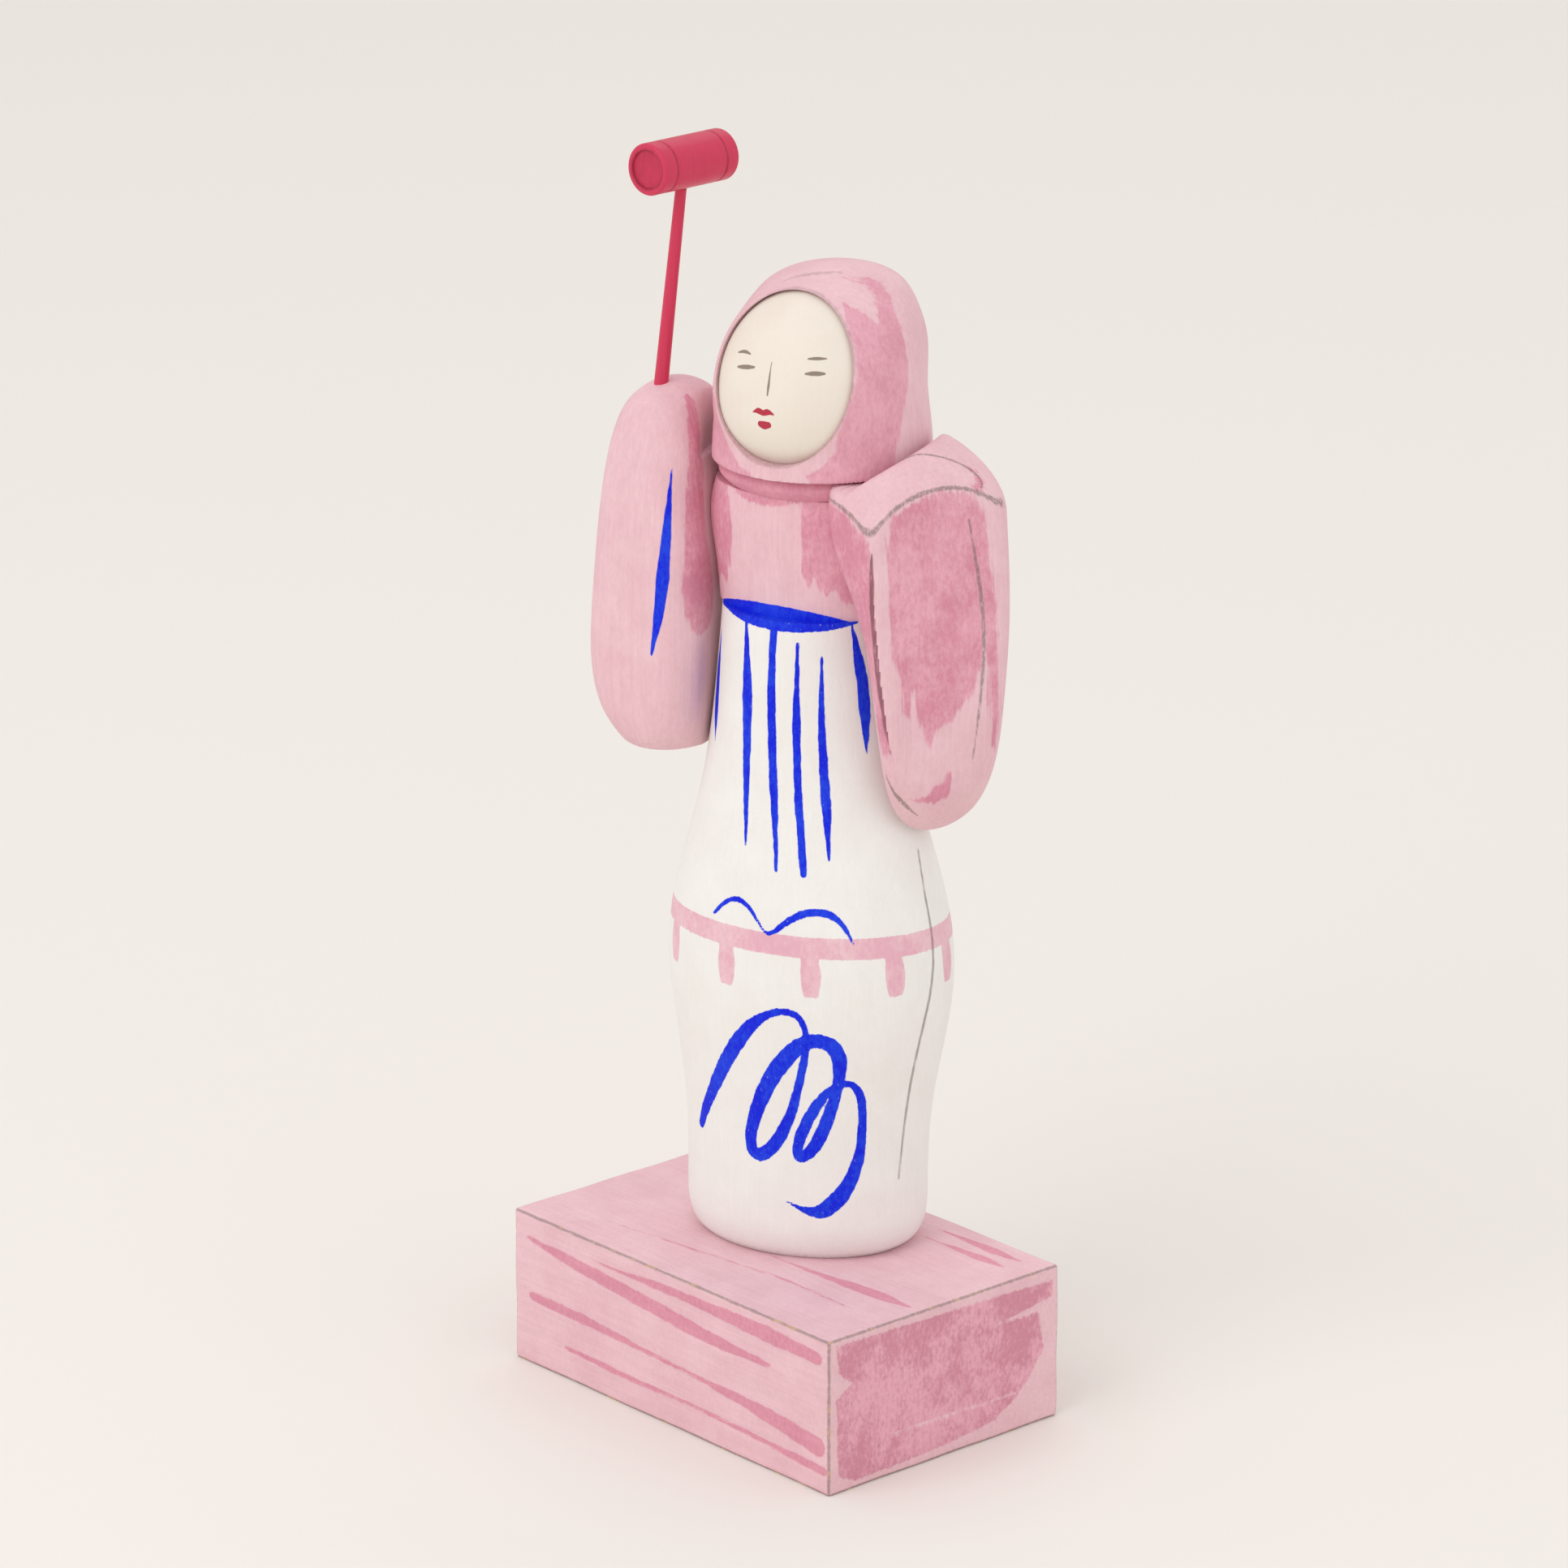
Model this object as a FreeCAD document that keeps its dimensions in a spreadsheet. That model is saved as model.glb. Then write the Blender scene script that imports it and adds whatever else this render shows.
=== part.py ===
import FreeCAD, Part
import math
import os

from FreeCAD import Rotation, Vector
import Sketcher

# A carved and painted wooden doll that stands on a lacquered block. Millimetres, +Z up, the origin at the
# middle of the block's underside, the block's long side along X and its front towards -Y. The doll has a
# frame of its own, with its origin at the middle of its foot, and is turned a little on the block.

os.makedirs("parts", exist_ok=True)
doc = FreeCAD.newDocument("kokeshi")

# ---------------------------------------------------------------- driving dimensions

singleSizes = [
    # block
    ("block_length", 86.0), ("block_depth", 55.4), ("block_height", 29.3), ("block_edge_round", 0.7),
    # where the doll stands on the block, and how far it is turned
    ("stand_x", -1.2), ("stand_y", 6.3), ("doll_turn", 20.0),
    # clearances of the glued, hanging and turning joints
    ("glue_gap", 0.05), ("dowel_end_gap", 0.4), ("hang_gap", 0.4),
    ("turn_fit", 0.05), ("turn_gap", 0.2), ("swing_gap", 0.5),
    # hidden dowels
    ("foot_dowel_radius", 3.0), ("foot_dowel_length", 24.0), ("foot_dowel_spacing", 22.0),
    ("waist_dowel_radius", 3.0), ("waist_dowel_length", 14.0),
    ("sleeve_dowel_radius", 2.0), ("sleeve_dowel_length", 12.0), ("sleeve_dowel_height", 4.6),
    ("sleeve_dowel_rise", 11.0), ("sleeve_dowel_back", 2.0),
    # neck: the upright line that the head turns about, and the peg on it
    ("neck_x", 0.8), ("neck_y", 3.5), ("neck_radius", 5.0), ("neck_peg_length", 12.0),
    ("neck_peg_rise", 4.0),
    # turned head, fat at the jaw, tall at the brow and set forward of the neck line
    ("head_radius", 17.0), ("head_forward", 2.4), ("jaw_height", 11.7), ("jaw_drop", 15.0),
    ("brow_rise", 20.0),
    # hood: its wall over the head and its oval face opening
    ("hood_wall", 0.6), ("face_half_width", 13.2), ("face_half_height", 14.55), ("face_height", 16.95),
    # right sleeve: rounding of its corners, and the egg shape that rounds off its ends
    ("sleeve_corner_round", 6.5), ("raised_egg_out", 7.6), ("raised_egg_y", -1.0), ("raised_egg_height", 2.5),
    ("raised_egg_width", 16.5), ("raised_egg_depth", 22.0), ("raised_egg_rise", 35.3),
    # left sleeve: rounding of its four upright edges, the ball that domes its shoulder and the egg shape
    # that rounds off its hem
    ("fold_round", 1.5), ("ridge_round", 2.5), ("elbow_round", 5.0), ("back_round", 4.0),
    ("shoulder_ball_radius", 27.0), ("shoulder_ball_out", -5.35), ("shoulder_ball_y", 5.5),
    ("shoulder_ball_height", 5.8),
    ("hem_egg_out", 3.6), ("hem_egg_y", 2.5), ("hem_egg_height", -7.0), ("hem_egg_width", 16.8),
    ("hem_egg_depth", 20.5), ("hem_egg_drop", 32.0),
    # mallet: where its handle leaves the raised sleeve, its lean, and its turned head
    ("grip_out", 8.9), ("grip_forward", 4.0), ("grip_height", 34.0), ("handle_lean", 6.7),
    ("handle_length", 39.0), ("handle_grip_radius", 1.3), ("handle_neck_radius", 1.0),
    ("handle_socket_depth", 12.0), ("mallet_radius", 4.6), ("mallet_length", 19.0), ("mallet_turn", 13.2),
    ("mallet_edge_round", 0.5), ("mallet_peg_radius", 0.8), ("mallet_peg_length", 5.5),
    ("mallet_recess_radius", 3.4), ("mallet_recess_depth", 0.4),
]

# Oval sections: name, height, width, depth, x and y of the middle. The lower body's heights are from its
# foot, the torso's from the waist, and the collar's from the torso's top.
ovalColumns = ("height", "width", "depth", "x", "y")
lowerBodySections = [
    ("foot", 0.0, 39.0, 30.0, 0.0, 0.0),
    ("ankle", 2.0, 43.2, 33.2, 0.0, 0.0),
    ("shin", 16.0, 45.4, 35.0, 0.2, 0.0),
    ("knee", 28.0, 47.2, 36.0, 0.6, 0.0),
    ("thigh", 40.0, 51.2, 38.4, 1.0, 0.0),
    ("hip", 52.0, 53.8, 39.6, 1.1, 0.0),
    ("seat", 66.0, 50.4, 37.4, 1.0, 0.0),
    ("loin", 80.0, 42.4, 32.8, 0.9, 0.0),
    ("rib", 100.0, 34.8, 29.0, 0.6, 0.0),
    ("waist", 118.0, 31.2, 27.0, 0.5, 0.0),
]
torsoSections = [
    ("torso_foot", 0.0, 33.4, 23.0, 0.5, 0.2),
    ("torso_rib", 9.0, 36.0, 24.0, 0.5, 0.6),
    ("torso_chest", 18.0, 37.6, 25.2, 0.5, 1.0),
    ("torso_top", 21.6, 36.0, 25.0, 0.5, 1.4),
]
collarSections = [
    ("collar_foot", 0.0, 30.0, 25.4, 0.6, 1.2),
    ("collar_roll", 2.0, 34.8, 30.4, 0.7, 2.0),
    ("collar_top", 4.0, 33.4, 29.4, 0.7, 2.4),
]

# Round hood sections: name, height above the rim, radius, and how far the middle is behind the neck line.
hoodColumns = ("height", "radius", "back")
hoodSections = [
    ("hood_rim", 0.0, 19.5, 1.0),
    ("hood_nape", 5.2, 19.2, 1.0),
    ("hood_cheek", 13.2, 18.4, 1.0),
    ("hood_temple", 21.2, 17.5, 2.7),
    ("hood_brow", 26.2, 15.1, 4.6),
    ("hood_crown", 30.3, 11.8, 6.0),
    ("hood_peak", 32.6, 6.2, 6.8),
    ("hood_tip", 33.2, 2.0, 7.2),
]

# Right sleeve sections: name, height above the waist, how far the inner and outer side lie outside the
# torso's side, and y of the front and back.
rightSleeveColumns = ("height", "inner", "outer", "front", "back")
rightSleeveSections = [
    ("right_hem", -29.0, -1.1, 18.7, -15.0, 13.0),
    ("right_cuff", -14.0, -1.7, 19.5, -15.4, 13.4),
    ("right_fold", 4.0, -1.6, 18.8, -15.0, 13.0),
    ("right_elbow", 20.0, -0.7, 17.7, -13.5, 11.5),
    ("right_hand", 40.0, 1.2, 15.2, -9.4, 7.4),
]

# Left sleeve sections: name, height above the waist, then for the front fold, the ridge, the outer corner
# and the back corner how far each lies outside the torso's side, and its y.
leftSleeveColumns = ("height", "fold_out", "fold_y", "ridge_out", "ridge_y",
                     "elbow_out", "elbow_y", "back_out", "back_y")
leftSleeveSections = [
    ("left_hem", -38.0, 3.6, -11.0, 8.2, -14.8, 20.0, 1.0, 1.6, 9.0),
    ("left_fold", -16.0, 0.6, -12.8, 5.5, -17.2, 21.1, 2.2, -0.1, 12.0),
    ("left_elbow", 2.0, -2.3, -13.4, 3.6, -18.0, 21.3, 4.4, -1.3, 13.0),
    ("left_shoulder", 20.0, -10.3, -13.4, 2.0, -17.2, 19.3, 7.5, -3.8, 12.0),
    ("left_crown", 34.0, -16.3, -13.0, 1.0, -16.4, 17.7, 9.5, -6.3, 11.0),
]


def tableSizes(sections, columns):
    """Names each number of a table of sections as section_column."""
    return [(f"{row[0]}_{column}", value) for row in sections for column, value in zip(columns, row[1:])]


allSizes = (singleSizes + tableSizes(lowerBodySections, ovalColumns) + tableSizes(torsoSections, ovalColumns)
            + tableSizes(collarSections, ovalColumns) + tableSizes(hoodSections, hoodColumns)
            + tableSizes(rightSleeveSections, rightSleeveColumns)
            + tableSizes(leftSleeveSections, leftSleeveColumns))

sheet = doc.addObject("Spreadsheet::Sheet", "Sizes")
for row, (alias, value) in enumerate(allSizes, start=1):
    sheet.set(f"A{row}", alias)
    sheet.set(f"B{row}", str(value))
    sheet.setAlias(f"B{row}", alias)
doc.recompute()

# levels above the doll's foot, and the two sides of the torso that the sleeves are placed from
waistLevel = "Sizes.waist_height"
torsoTopLevel = f"({waistLevel} + Sizes.torso_top_height)"
collarTopLevel = f"({torsoTopLevel} + Sizes.collar_top_height)"
rimLevel = f"({collarTopLevel} + Sizes.turn_gap)"
rightSide = "(Sizes.torso_chest_x - Sizes.torso_chest_width / 2)"
leftSide = "(Sizes.torso_chest_x + Sizes.torso_chest_width / 2)"


def bind(thing, formulas):
    """Ties properties of an object to formulas of the sheet's sizes."""
    for path, formula in formulas.items():
        thing.setExpression(path, formula)


def place(thing, x="0", y="0", z="0"):
    bind(thing, {"Placement.Base.x": x, "Placement.Base.y": y, "Placement.Base.z": z})


def cylinder(name, radius, height, x, y, z):
    """An upright cylinder from z upwards."""
    rod = doc.addObject("Part::Cylinder", name)
    bind(rod, {"Radius": radius, "Height": height})
    place(rod, x, y, z)
    return rod


def group(name, things):
    bundle = doc.addObject("Part::Compound", name)
    bundle.Links = things
    return bundle


def fuse(name, things):
    joined = doc.addObject("Part::MultiFuse", name)
    joined.Shapes = things
    return joined


def cutAway(name, base, tools):
    """Takes each tool away from the base in turn; the last cut carries the name."""
    for number, tool in enumerate(tools, start=1):
        cut = doc.addObject("Part::Cut", name if number == len(tools) else f"{name}_cut_{number}")
        cut.Base, cut.Tool = base, tool
        cut.Refine = False
        base = cut
    return base


def loft(name, sections):
    skin = doc.addObject("Part::Loft", name)
    skin.Sections = sections
    skin.Solid = True
    return skin


def oval(name, halfWidth, halfDepth, x, y, z):
    """A level ellipse, turned where it is deeper than wide."""
    ring = doc.addObject("Part::Ellipse", name)
    bind(ring, {"MajorRadius": f"max({halfWidth}; {halfDepth})",
                "MinorRadius": f"min({halfWidth}; {halfDepth})",
                "Placement.Rotation.Angle": f"{halfWidth} < {halfDepth} ? 90 deg : 0 deg"})
    place(ring, x, y, z)
    return ring


def ovalSection(section, datum, grow="0"):
    """The oval of one section, at the datum level plus its height; grow widens it all round."""
    halfWidth, halfDepth = (f"(Sizes.{section}_{side} / 2 + {grow})" for side in ("width", "depth"))
    return oval(f"{section}_oval", halfWidth, halfDepth, f"Sizes.{section}_x", f"Sizes.{section}_y",
                f"{datum} + Sizes.{section}_height")


def ovalLoft(name, sections, datum, grow="0"):
    return loft(name, [ovalSection(row[0], datum, grow) for row in sections])


def standOnBlock(piece):
    """Puts a piece made in the doll's own frame where the doll stands."""
    place(piece, "Sizes.stand_x", "Sizes.stand_y", "Sizes.block_height")
    piece.setExpression("Placement.Rotation.Angle", "Sizes.doll_turn * 1 deg")
    return piece


def valueOf(formula):
    """What a formula of sheet sizes comes to."""
    return float(sheet.evalExpression(formula.replace("Sizes.", "")))


def newSketch(body, name, plane="XY_Plane", offset="0"):
    """A sketch on one of the body's own planes, lifted off it by offset."""
    sketch = body.newObject("Sketcher::SketchObject", name)
    support = [feature for feature in body.Origin.OriginFeatures if feature.Role == plane]
    sketch.AttachmentSupport = [(support[0], "")]
    sketch.MapMode = "FlatFace"
    sketch.setExpression("AttachmentOffset.Base.z", offset)
    return sketch


def pinPoint(sketch, geometry, vertex, label, formulas):
    """Holds a sketch point at the x and y that two formulas give."""
    for axis, formula in zip("XY", formulas):
        distance = Sketcher.Constraint(f"Distance{axis}", -1, 1, geometry, vertex, valueOf(formula))
        sketch.addConstraint(distance)
        sketch.renameConstraint(sketch.ConstraintCount - 1, f"{label}{axis}")
        sketch.setExpression(f"Constraints.{label}{axis}", formula)


def polygonSketch(sketch, corners):
    """A closed polygon through corners given as pairs of formulas."""
    points = [Vector(valueOf(x), valueOf(y), 0) for x, y in corners]
    for index, point in enumerate(points):
        sketch.addGeometry(Part.LineSegment(point, points[(index + 1) % len(points)]), False)
    for index, corner in enumerate(corners):
        before = index - 1 if index else len(corners) - 1
        sketch.addConstraint(Sketcher.Constraint("Coincident", before, 2, index, 1))
        pinPoint(sketch, index, 1, f"corner{index}", corner)


def roundedSketch(sketch, corners):
    """A closed polygon, counter-clockwise, whose corners (x, y, rounding) are formulas."""
    count = len(corners)
    points = [Vector(valueOf(x), valueOf(y), 0) for x, y, rounding in corners]
    entries, exits, centres = [], [], []
    for index, point in enumerate(points):
        toBefore = (points[index - 1] - point).normalize()
        toAfter = (points[(index + 1) % count] - point).normalize()
        halfAngle = toBefore.getAngle(toAfter) / 2
        rounding = valueOf(corners[index][2])
        entries.append(point + toBefore * (rounding / math.tan(halfAngle)))
        exits.append(point + toAfter * (rounding / math.tan(halfAngle)))
        centres.append(point + (toBefore + toAfter).normalize() * (rounding / math.sin(halfAngle)))
    # sides are the even geometries and arcs the odd ones, each arc after the side that runs into it
    for index in range(count):
        entry, centre, leave = entries[index], centres[index], exits[index]
        middle = centre + (points[index] - centre).normalize() * (entry - centre).Length
        sketch.addGeometry(Part.LineSegment(exits[index - 1], entry), False)
        sketch.addGeometry(Part.Arc(entry, middle, leave), False)
    for index, (x, y, rounding) in enumerate(corners):
        side, arc, nextSide = 2 * index, 2 * index + 1, 2 * (index + 1) % (2 * count)
        sketch.addConstraint(Sketcher.Constraint("Tangent", side, 2, arc, 1))
        sketch.addConstraint(Sketcher.Constraint("Tangent", arc, 2, nextSide, 1))
        sketch.addConstraint(Sketcher.Constraint("Radius", arc, valueOf(rounding)))
        sketch.renameConstraint(sketch.ConstraintCount - 1, f"rounding{index}")
        sketch.setExpression(f"Constraints.rounding{index}", rounding)
        mark = sketch.addGeometry(Part.Point(points[index]), True)
        sketch.addConstraint(Sketcher.Constraint("PointOnObject", mark, 1, side))
        sketch.addConstraint(Sketcher.Constraint("PointOnObject", mark, 1, nextSide))
        pinPoint(sketch, mark, 1, f"corner{index}", (x, y))


def roundedLoft(name, sections, cornersOf):
    """A body lofted through one rounded section per row; cornersOf gives a row's corners."""
    body = doc.addObject("PartDesign::Body", name)
    sketches = []
    for row in sections:
        sketch = newSketch(body, f"{row[0]}_section", offset=f"{waistLevel} + Sizes.{row[0]}_height")
        roundedSketch(sketch, cornersOf(row[0]))
        sketches.append(sketch)
    skin = body.newObject("PartDesign::AdditiveLoft", f"{name}_loft")
    skin.Profile = sketches[0]
    skin.Sections = sketches[1:]
    doc.recompute()
    return body


def egg(name, width, depth, rise, x, y, z, lowest=-90, highest=90):
    """An ellipsoid, or the half of it between two latitudes."""
    ball = doc.addObject("Part::Ellipsoid", name)
    bind(ball, {"Radius1": rise, "Radius2": width, "Radius3": depth})
    ball.Angle1, ball.Angle2 = lowest, highest
    place(ball, x, y, z)
    return ball


def slab(name, reach, height, x, y, z):
    """A box of half width reach about x and y, from z upwards."""
    box = doc.addObject("Part::Box", name)
    bind(box, {"Length": f"2 * {reach}", "Width": f"2 * {reach}", "Height": height})
    place(box, f"{x} - {reach}", f"{y} - {reach}", z)
    return box


# ---------------------------------------------------------------- block

def makeBlock(footHoles):
    """A slab with softened edges and two peg holes under the doll's foot."""
    body = doc.addObject("PartDesign::Body", "block_form")
    outline = newSketch(body, "block_outline")
    halfLength, halfDepth = "Sizes.block_length / 2", "Sizes.block_depth / 2"
    polygonSketch(outline, [(f"-{halfLength}", f"-{halfDepth}"), (halfLength, f"-{halfDepth}"),
                            (halfLength, halfDepth), (f"-{halfLength}", halfDepth)])
    pad = body.newObject("PartDesign::Pad", "block_pad")
    pad.Profile = outline
    pad.setExpression("Length", "Sizes.block_height")
    doc.recompute()
    rounding = body.newObject("PartDesign::Fillet", "block_rounding")
    rounding.Base = (pad, [f"Edge{number}" for number in range(1, len(pad.Shape.Edges) + 1)])
    rounding.setExpression("Radius", "Sizes.block_edge_round")
    return cutAway("base_block", body, [standOnBlock(group("block_holes", footHoles))])


# ---------------------------------------------------------------- dowels, in the doll's frame

def footPegs(name, grow="0", endGap="0"):
    """Two upright pegs across the doll's foot, half in the block and half in the body."""
    pegs = []
    for side, sign in (("left", ""), ("right", "-")):
        pegs.append(cylinder(f"{name}_{side}", f"Sizes.foot_dowel_radius + {grow}",
                             f"Sizes.foot_dowel_length + 2 * {endGap}",
                             f"{sign}Sizes.foot_dowel_spacing / 2", "0",
                             f"-Sizes.foot_dowel_length / 2 - {endGap}"))
    return pegs


def waistPeg(name, grow="0", endGap="0"):
    return cylinder(name, f"Sizes.waist_dowel_radius + {grow}", f"Sizes.waist_dowel_length + 2 * {endGap}",
                    "Sizes.waist_x", "Sizes.waist_y",
                    f"{waistLevel} - Sizes.waist_dowel_length / 2 - {endGap}")


def sleevePegs(name, side, direction, grow="0", endGap="0"):
    """Two level pegs, one above the other, half in the torso and half in a sleeve."""
    pegs = []
    for level in (0, 1):
        rod = cylinder(f"{name}_{level}", f"Sizes.sleeve_dowel_radius + {grow}",
                       f"Sizes.sleeve_dowel_length + 2 * {endGap}",
                       f"{side} - {direction} * (Sizes.sleeve_dowel_length / 2 + {endGap})",
                       "Sizes.sleeve_dowel_back",
                       f"{waistLevel} + Sizes.sleeve_dowel_height + {level} * Sizes.sleeve_dowel_rise")
        rod.Placement.Rotation = Rotation(Vector(0, 1, 0), 90 * direction)
        pegs.append(rod)
    return pegs


glueFit = {"grow": "Sizes.glue_gap", "endGap": "Sizes.dowel_end_gap"}
footHoles = footPegs("foot_hole", **glueFit)
waistHole = waistPeg("waist_hole", **glueFit)
rightHoles = sleevePegs("right_hole", rightSide, -1, **glueFit)
leftHoles = sleevePegs("left_hole", leftSide, 1, **glueFit)


# ---------------------------------------------------------------- body, torso and collar

def makeLowerBody():
    form = ovalLoft("lower_body_form", lowerBodySections, "0")
    return cutAway("lower_body", form, footHoles + [waistHole])


def makeTorso(neckHole):
    form = ovalLoft("torso_form", torsoSections, waistLevel)
    return form, cutAway("torso", form, [waistHole, neckHole] + rightHoles + leftHoles)


def makeCollar(neckHole):
    form = ovalLoft("collar_form", collarSections, torsoTopLevel)
    return form, cutAway("collar", form, [neckHole])


# ---------------------------------------------------------------- sleeves

def makeRightSleeve(swing, neighbours, socket):
    """The raised sleeve: a rounded box of a loft, rounded off at both ends by an egg shape."""
    def corners(row):
        inner, outer = (f"{rightSide} - Sizes.{row}_{side}" for side in ("inner", "outer"))
        front, back, rounding = f"Sizes.{row}_front", f"Sizes.{row}_back", "Sizes.sleeve_corner_round"
        return [(outer, front, rounding), (inner, front, rounding),
                (inner, back, rounding), (outer, back, rounding)]
    form = roundedLoft("right_sleeve_form", rightSleeveSections, corners)
    ends = egg("raised_egg", "Sizes.raised_egg_width", "Sizes.raised_egg_depth", "Sizes.raised_egg_rise",
               f"{rightSide} - Sizes.raised_egg_out", "Sizes.raised_egg_y",
               f"{waistLevel} + Sizes.raised_egg_height")
    rounded = doc.addObject("Part::Common", "right_sleeve_rounded")
    rounded.Base, rounded.Tool = form, ends
    return cutAway("right_sleeve", rounded, [swing] + neighbours + rightHoles + [socket])


def roundOff(name, form, ball, reach, height, x, y, z):
    """Takes away what lies in a box but outside a ball."""
    waste = doc.addObject("Part::Cut", f"{name}_waste")
    waste.Base, waste.Tool = slab(f"{name}_slab", reach, height, x, y, z), ball
    return cutAway(name, form, [waste])


def makeLeftSleeve(swing, neighbours):
    """The hanging sleeve: a four-sided loft, domed at the shoulder and rounded off at the hem."""
    def corners(row):
        return [(f"{leftSide} + Sizes.{row}_{corner}_out", f"Sizes.{row}_{corner}_y", f"Sizes.{corner}_round")
                for corner in ("fold", "ridge", "elbow", "back")]
    form = roundedLoft("left_sleeve_form", leftSleeveSections, corners)
    reach = "2 * Sizes.shoulder_ball_radius"
    ballAt = (f"{leftSide} + Sizes.shoulder_ball_out", "Sizes.shoulder_ball_y",
              f"{waistLevel} + Sizes.shoulder_ball_height")
    ball = egg("shoulder_ball", *["Sizes.shoulder_ball_radius"] * 3, *ballAt)
    domed = roundOff("left_sleeve_domed", form, ball, reach, reach, *ballAt)
    eggX, eggY = f"{leftSide} + Sizes.hem_egg_out", "Sizes.hem_egg_y"
    eggLevel = f"{waistLevel} + Sizes.hem_egg_height"
    hem = egg("hem_egg", "Sizes.hem_egg_width", "Sizes.hem_egg_depth", "Sizes.hem_egg_drop",
              eggX, eggY, eggLevel)
    rounded = roundOff("left_sleeve_rounded", domed, hem, reach, reach, eggX, eggY, f"{eggLevel} - {reach}")
    return cutAway("left_sleeve", rounded, [swing] + neighbours + leftHoles)


# ---------------------------------------------------------------- head and hood

def headEgg(name, grow="0"):
    """Two half eggs that meet at the jaw line, cut level at the rim."""
    x, y = "Sizes.neck_x", "Sizes.neck_y - Sizes.head_forward"
    jawLevel = f"{rimLevel} + Sizes.jaw_height"
    width = f"Sizes.head_radius + {grow}"
    jaw = egg(f"{name}_jaw", width, width, f"Sizes.jaw_drop + {grow}", x, y, jawLevel, -90, 0)
    brow = egg(f"{name}_brow", width, width, f"Sizes.brow_rise + {grow}", x, y, jawLevel, 0, 90)
    whole = fuse(f"{name}_whole", [jaw, brow])
    reach = f"2 * ({width})"
    return cutAway(f"{name}_egg", whole, [slab(f"{name}_below", reach, reach, x, y, f"{rimLevel} - {reach}")])


def makeHead():
    peg = cylinder("neck_peg", "Sizes.neck_radius", "Sizes.neck_peg_length + Sizes.neck_peg_rise",
                   "Sizes.neck_x", "Sizes.neck_y", f"{rimLevel} - Sizes.neck_peg_length")
    return fuse("head", [headEgg("head"), peg])


def makeHood():
    """A shell round the head that leans back, open over the face."""
    rings = []
    for row in hoodSections:
        ring = doc.addObject("Part::Circle", f"{row[0]}_ring")
        ring.setExpression("Radius", f"Sizes.{row[0]}_radius")
        place(ring, "Sizes.neck_x", f"Sizes.neck_y + Sizes.{row[0]}_back",
              f"{rimLevel} + Sizes.{row[0]}_height")
        rings.append(ring)
    outside = fuse("hood_outside", [loft("hood_form", rings), headEgg("hood_over_head", "Sizes.hood_wall")])
    window = doc.addObject("Part::Extrusion", "face_window")
    window.Base = oval("face_oval", "Sizes.face_half_width", "Sizes.face_half_height", "0", "0", "0")
    window.DirMode = "Custom"
    window.Dir = Vector(0, 0, 1)
    window.Solid = True
    window.setExpression("LengthFwd", "2 * Sizes.head_radius")
    window.Placement.Rotation = Rotation(Vector(1, 0, 0), 90)
    place(window, "Sizes.neck_x", "Sizes.neck_y", f"{rimLevel} + Sizes.face_height")
    return cutAway("hood", outside, [headEgg("hood_hollow", "Sizes.glue_gap"), window])


# ---------------------------------------------------------------- mallet

def leanOut(piece):
    """Puts a piece made along an upright line on the leaning line of the mallet's handle."""
    place(piece, f"{rightSide} - Sizes.grip_out", "-Sizes.grip_forward", f"{waistLevel} + Sizes.grip_height")
    piece.Placement.Rotation = Rotation(Vector(0, 1, 0), 1)
    piece.setExpression("Placement.Rotation.Angle", "Sizes.handle_lean * 1 deg")
    return piece


malletLevel = "(Sizes.handle_length + Sizes.turn_gap + Sizes.mallet_radius)"


def makeHandle():
    """A tapered rod with a straight foot in the sleeve's socket and a peg in the mallet's head."""
    foot = cylinder("handle_foot", "Sizes.handle_grip_radius", "Sizes.handle_socket_depth", "0", "0",
                    "-Sizes.handle_socket_depth")
    shank = doc.addObject("Part::Cone", "handle_shank")
    bind(shank, {"Radius1": "Sizes.handle_grip_radius", "Radius2": "Sizes.handle_neck_radius",
                 "Height": "Sizes.handle_length"})
    peg = cylinder("handle_peg", "Sizes.mallet_peg_radius", "Sizes.mallet_peg_length", "0", "0",
                   "Sizes.handle_length")
    return leanOut(fuse("handle_form", [foot, shank, peg]))


def makeMalletHead():
    """A turned barrel that lies across the handle, with a shallow recess in each end."""
    half, edge = "Sizes.mallet_length / 2", "Sizes.mallet_edge_round"
    radius, dip = "Sizes.mallet_radius", f"({half} - Sizes.mallet_recess_depth)"
    recess = "Sizes.mallet_recess_radius"
    body = doc.addObject("PartDesign::Body", "mallet_form")
    profile = newSketch(body, "mallet_profile")
    polygonSketch(profile, [
        ("0", f"-{dip}"), (recess, f"-{dip}"), (recess, f"-{half}"),
        (f"{radius} - {edge}", f"-{half}"), (radius, f"-({half} - {edge})"), (radius, f"{half} - {edge}"),
        (f"{radius} - {edge}", half), (recess, half), (recess, dip), ("0", dip)])
    barrel = body.newObject("PartDesign::Revolution", "mallet_barrel")
    barrel.Profile = profile
    barrel.ReferenceAxis = (profile, ["V_Axis"])
    barrel.Angle = 360
    bind(body, {"Placement.Base.z": malletLevel, "Placement.Rotation.Angle": "-Sizes.mallet_turn * 1 deg"})
    hole = cylinder("mallet_hole", "Sizes.mallet_peg_radius + Sizes.turn_fit",
                    "Sizes.mallet_peg_length + Sizes.dowel_end_gap", "0", "0", "Sizes.handle_length")
    return leanOut(cutAway("mallet_head_form", body, [hole]))


# ---------------------------------------------------------------- the whole doll

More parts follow.
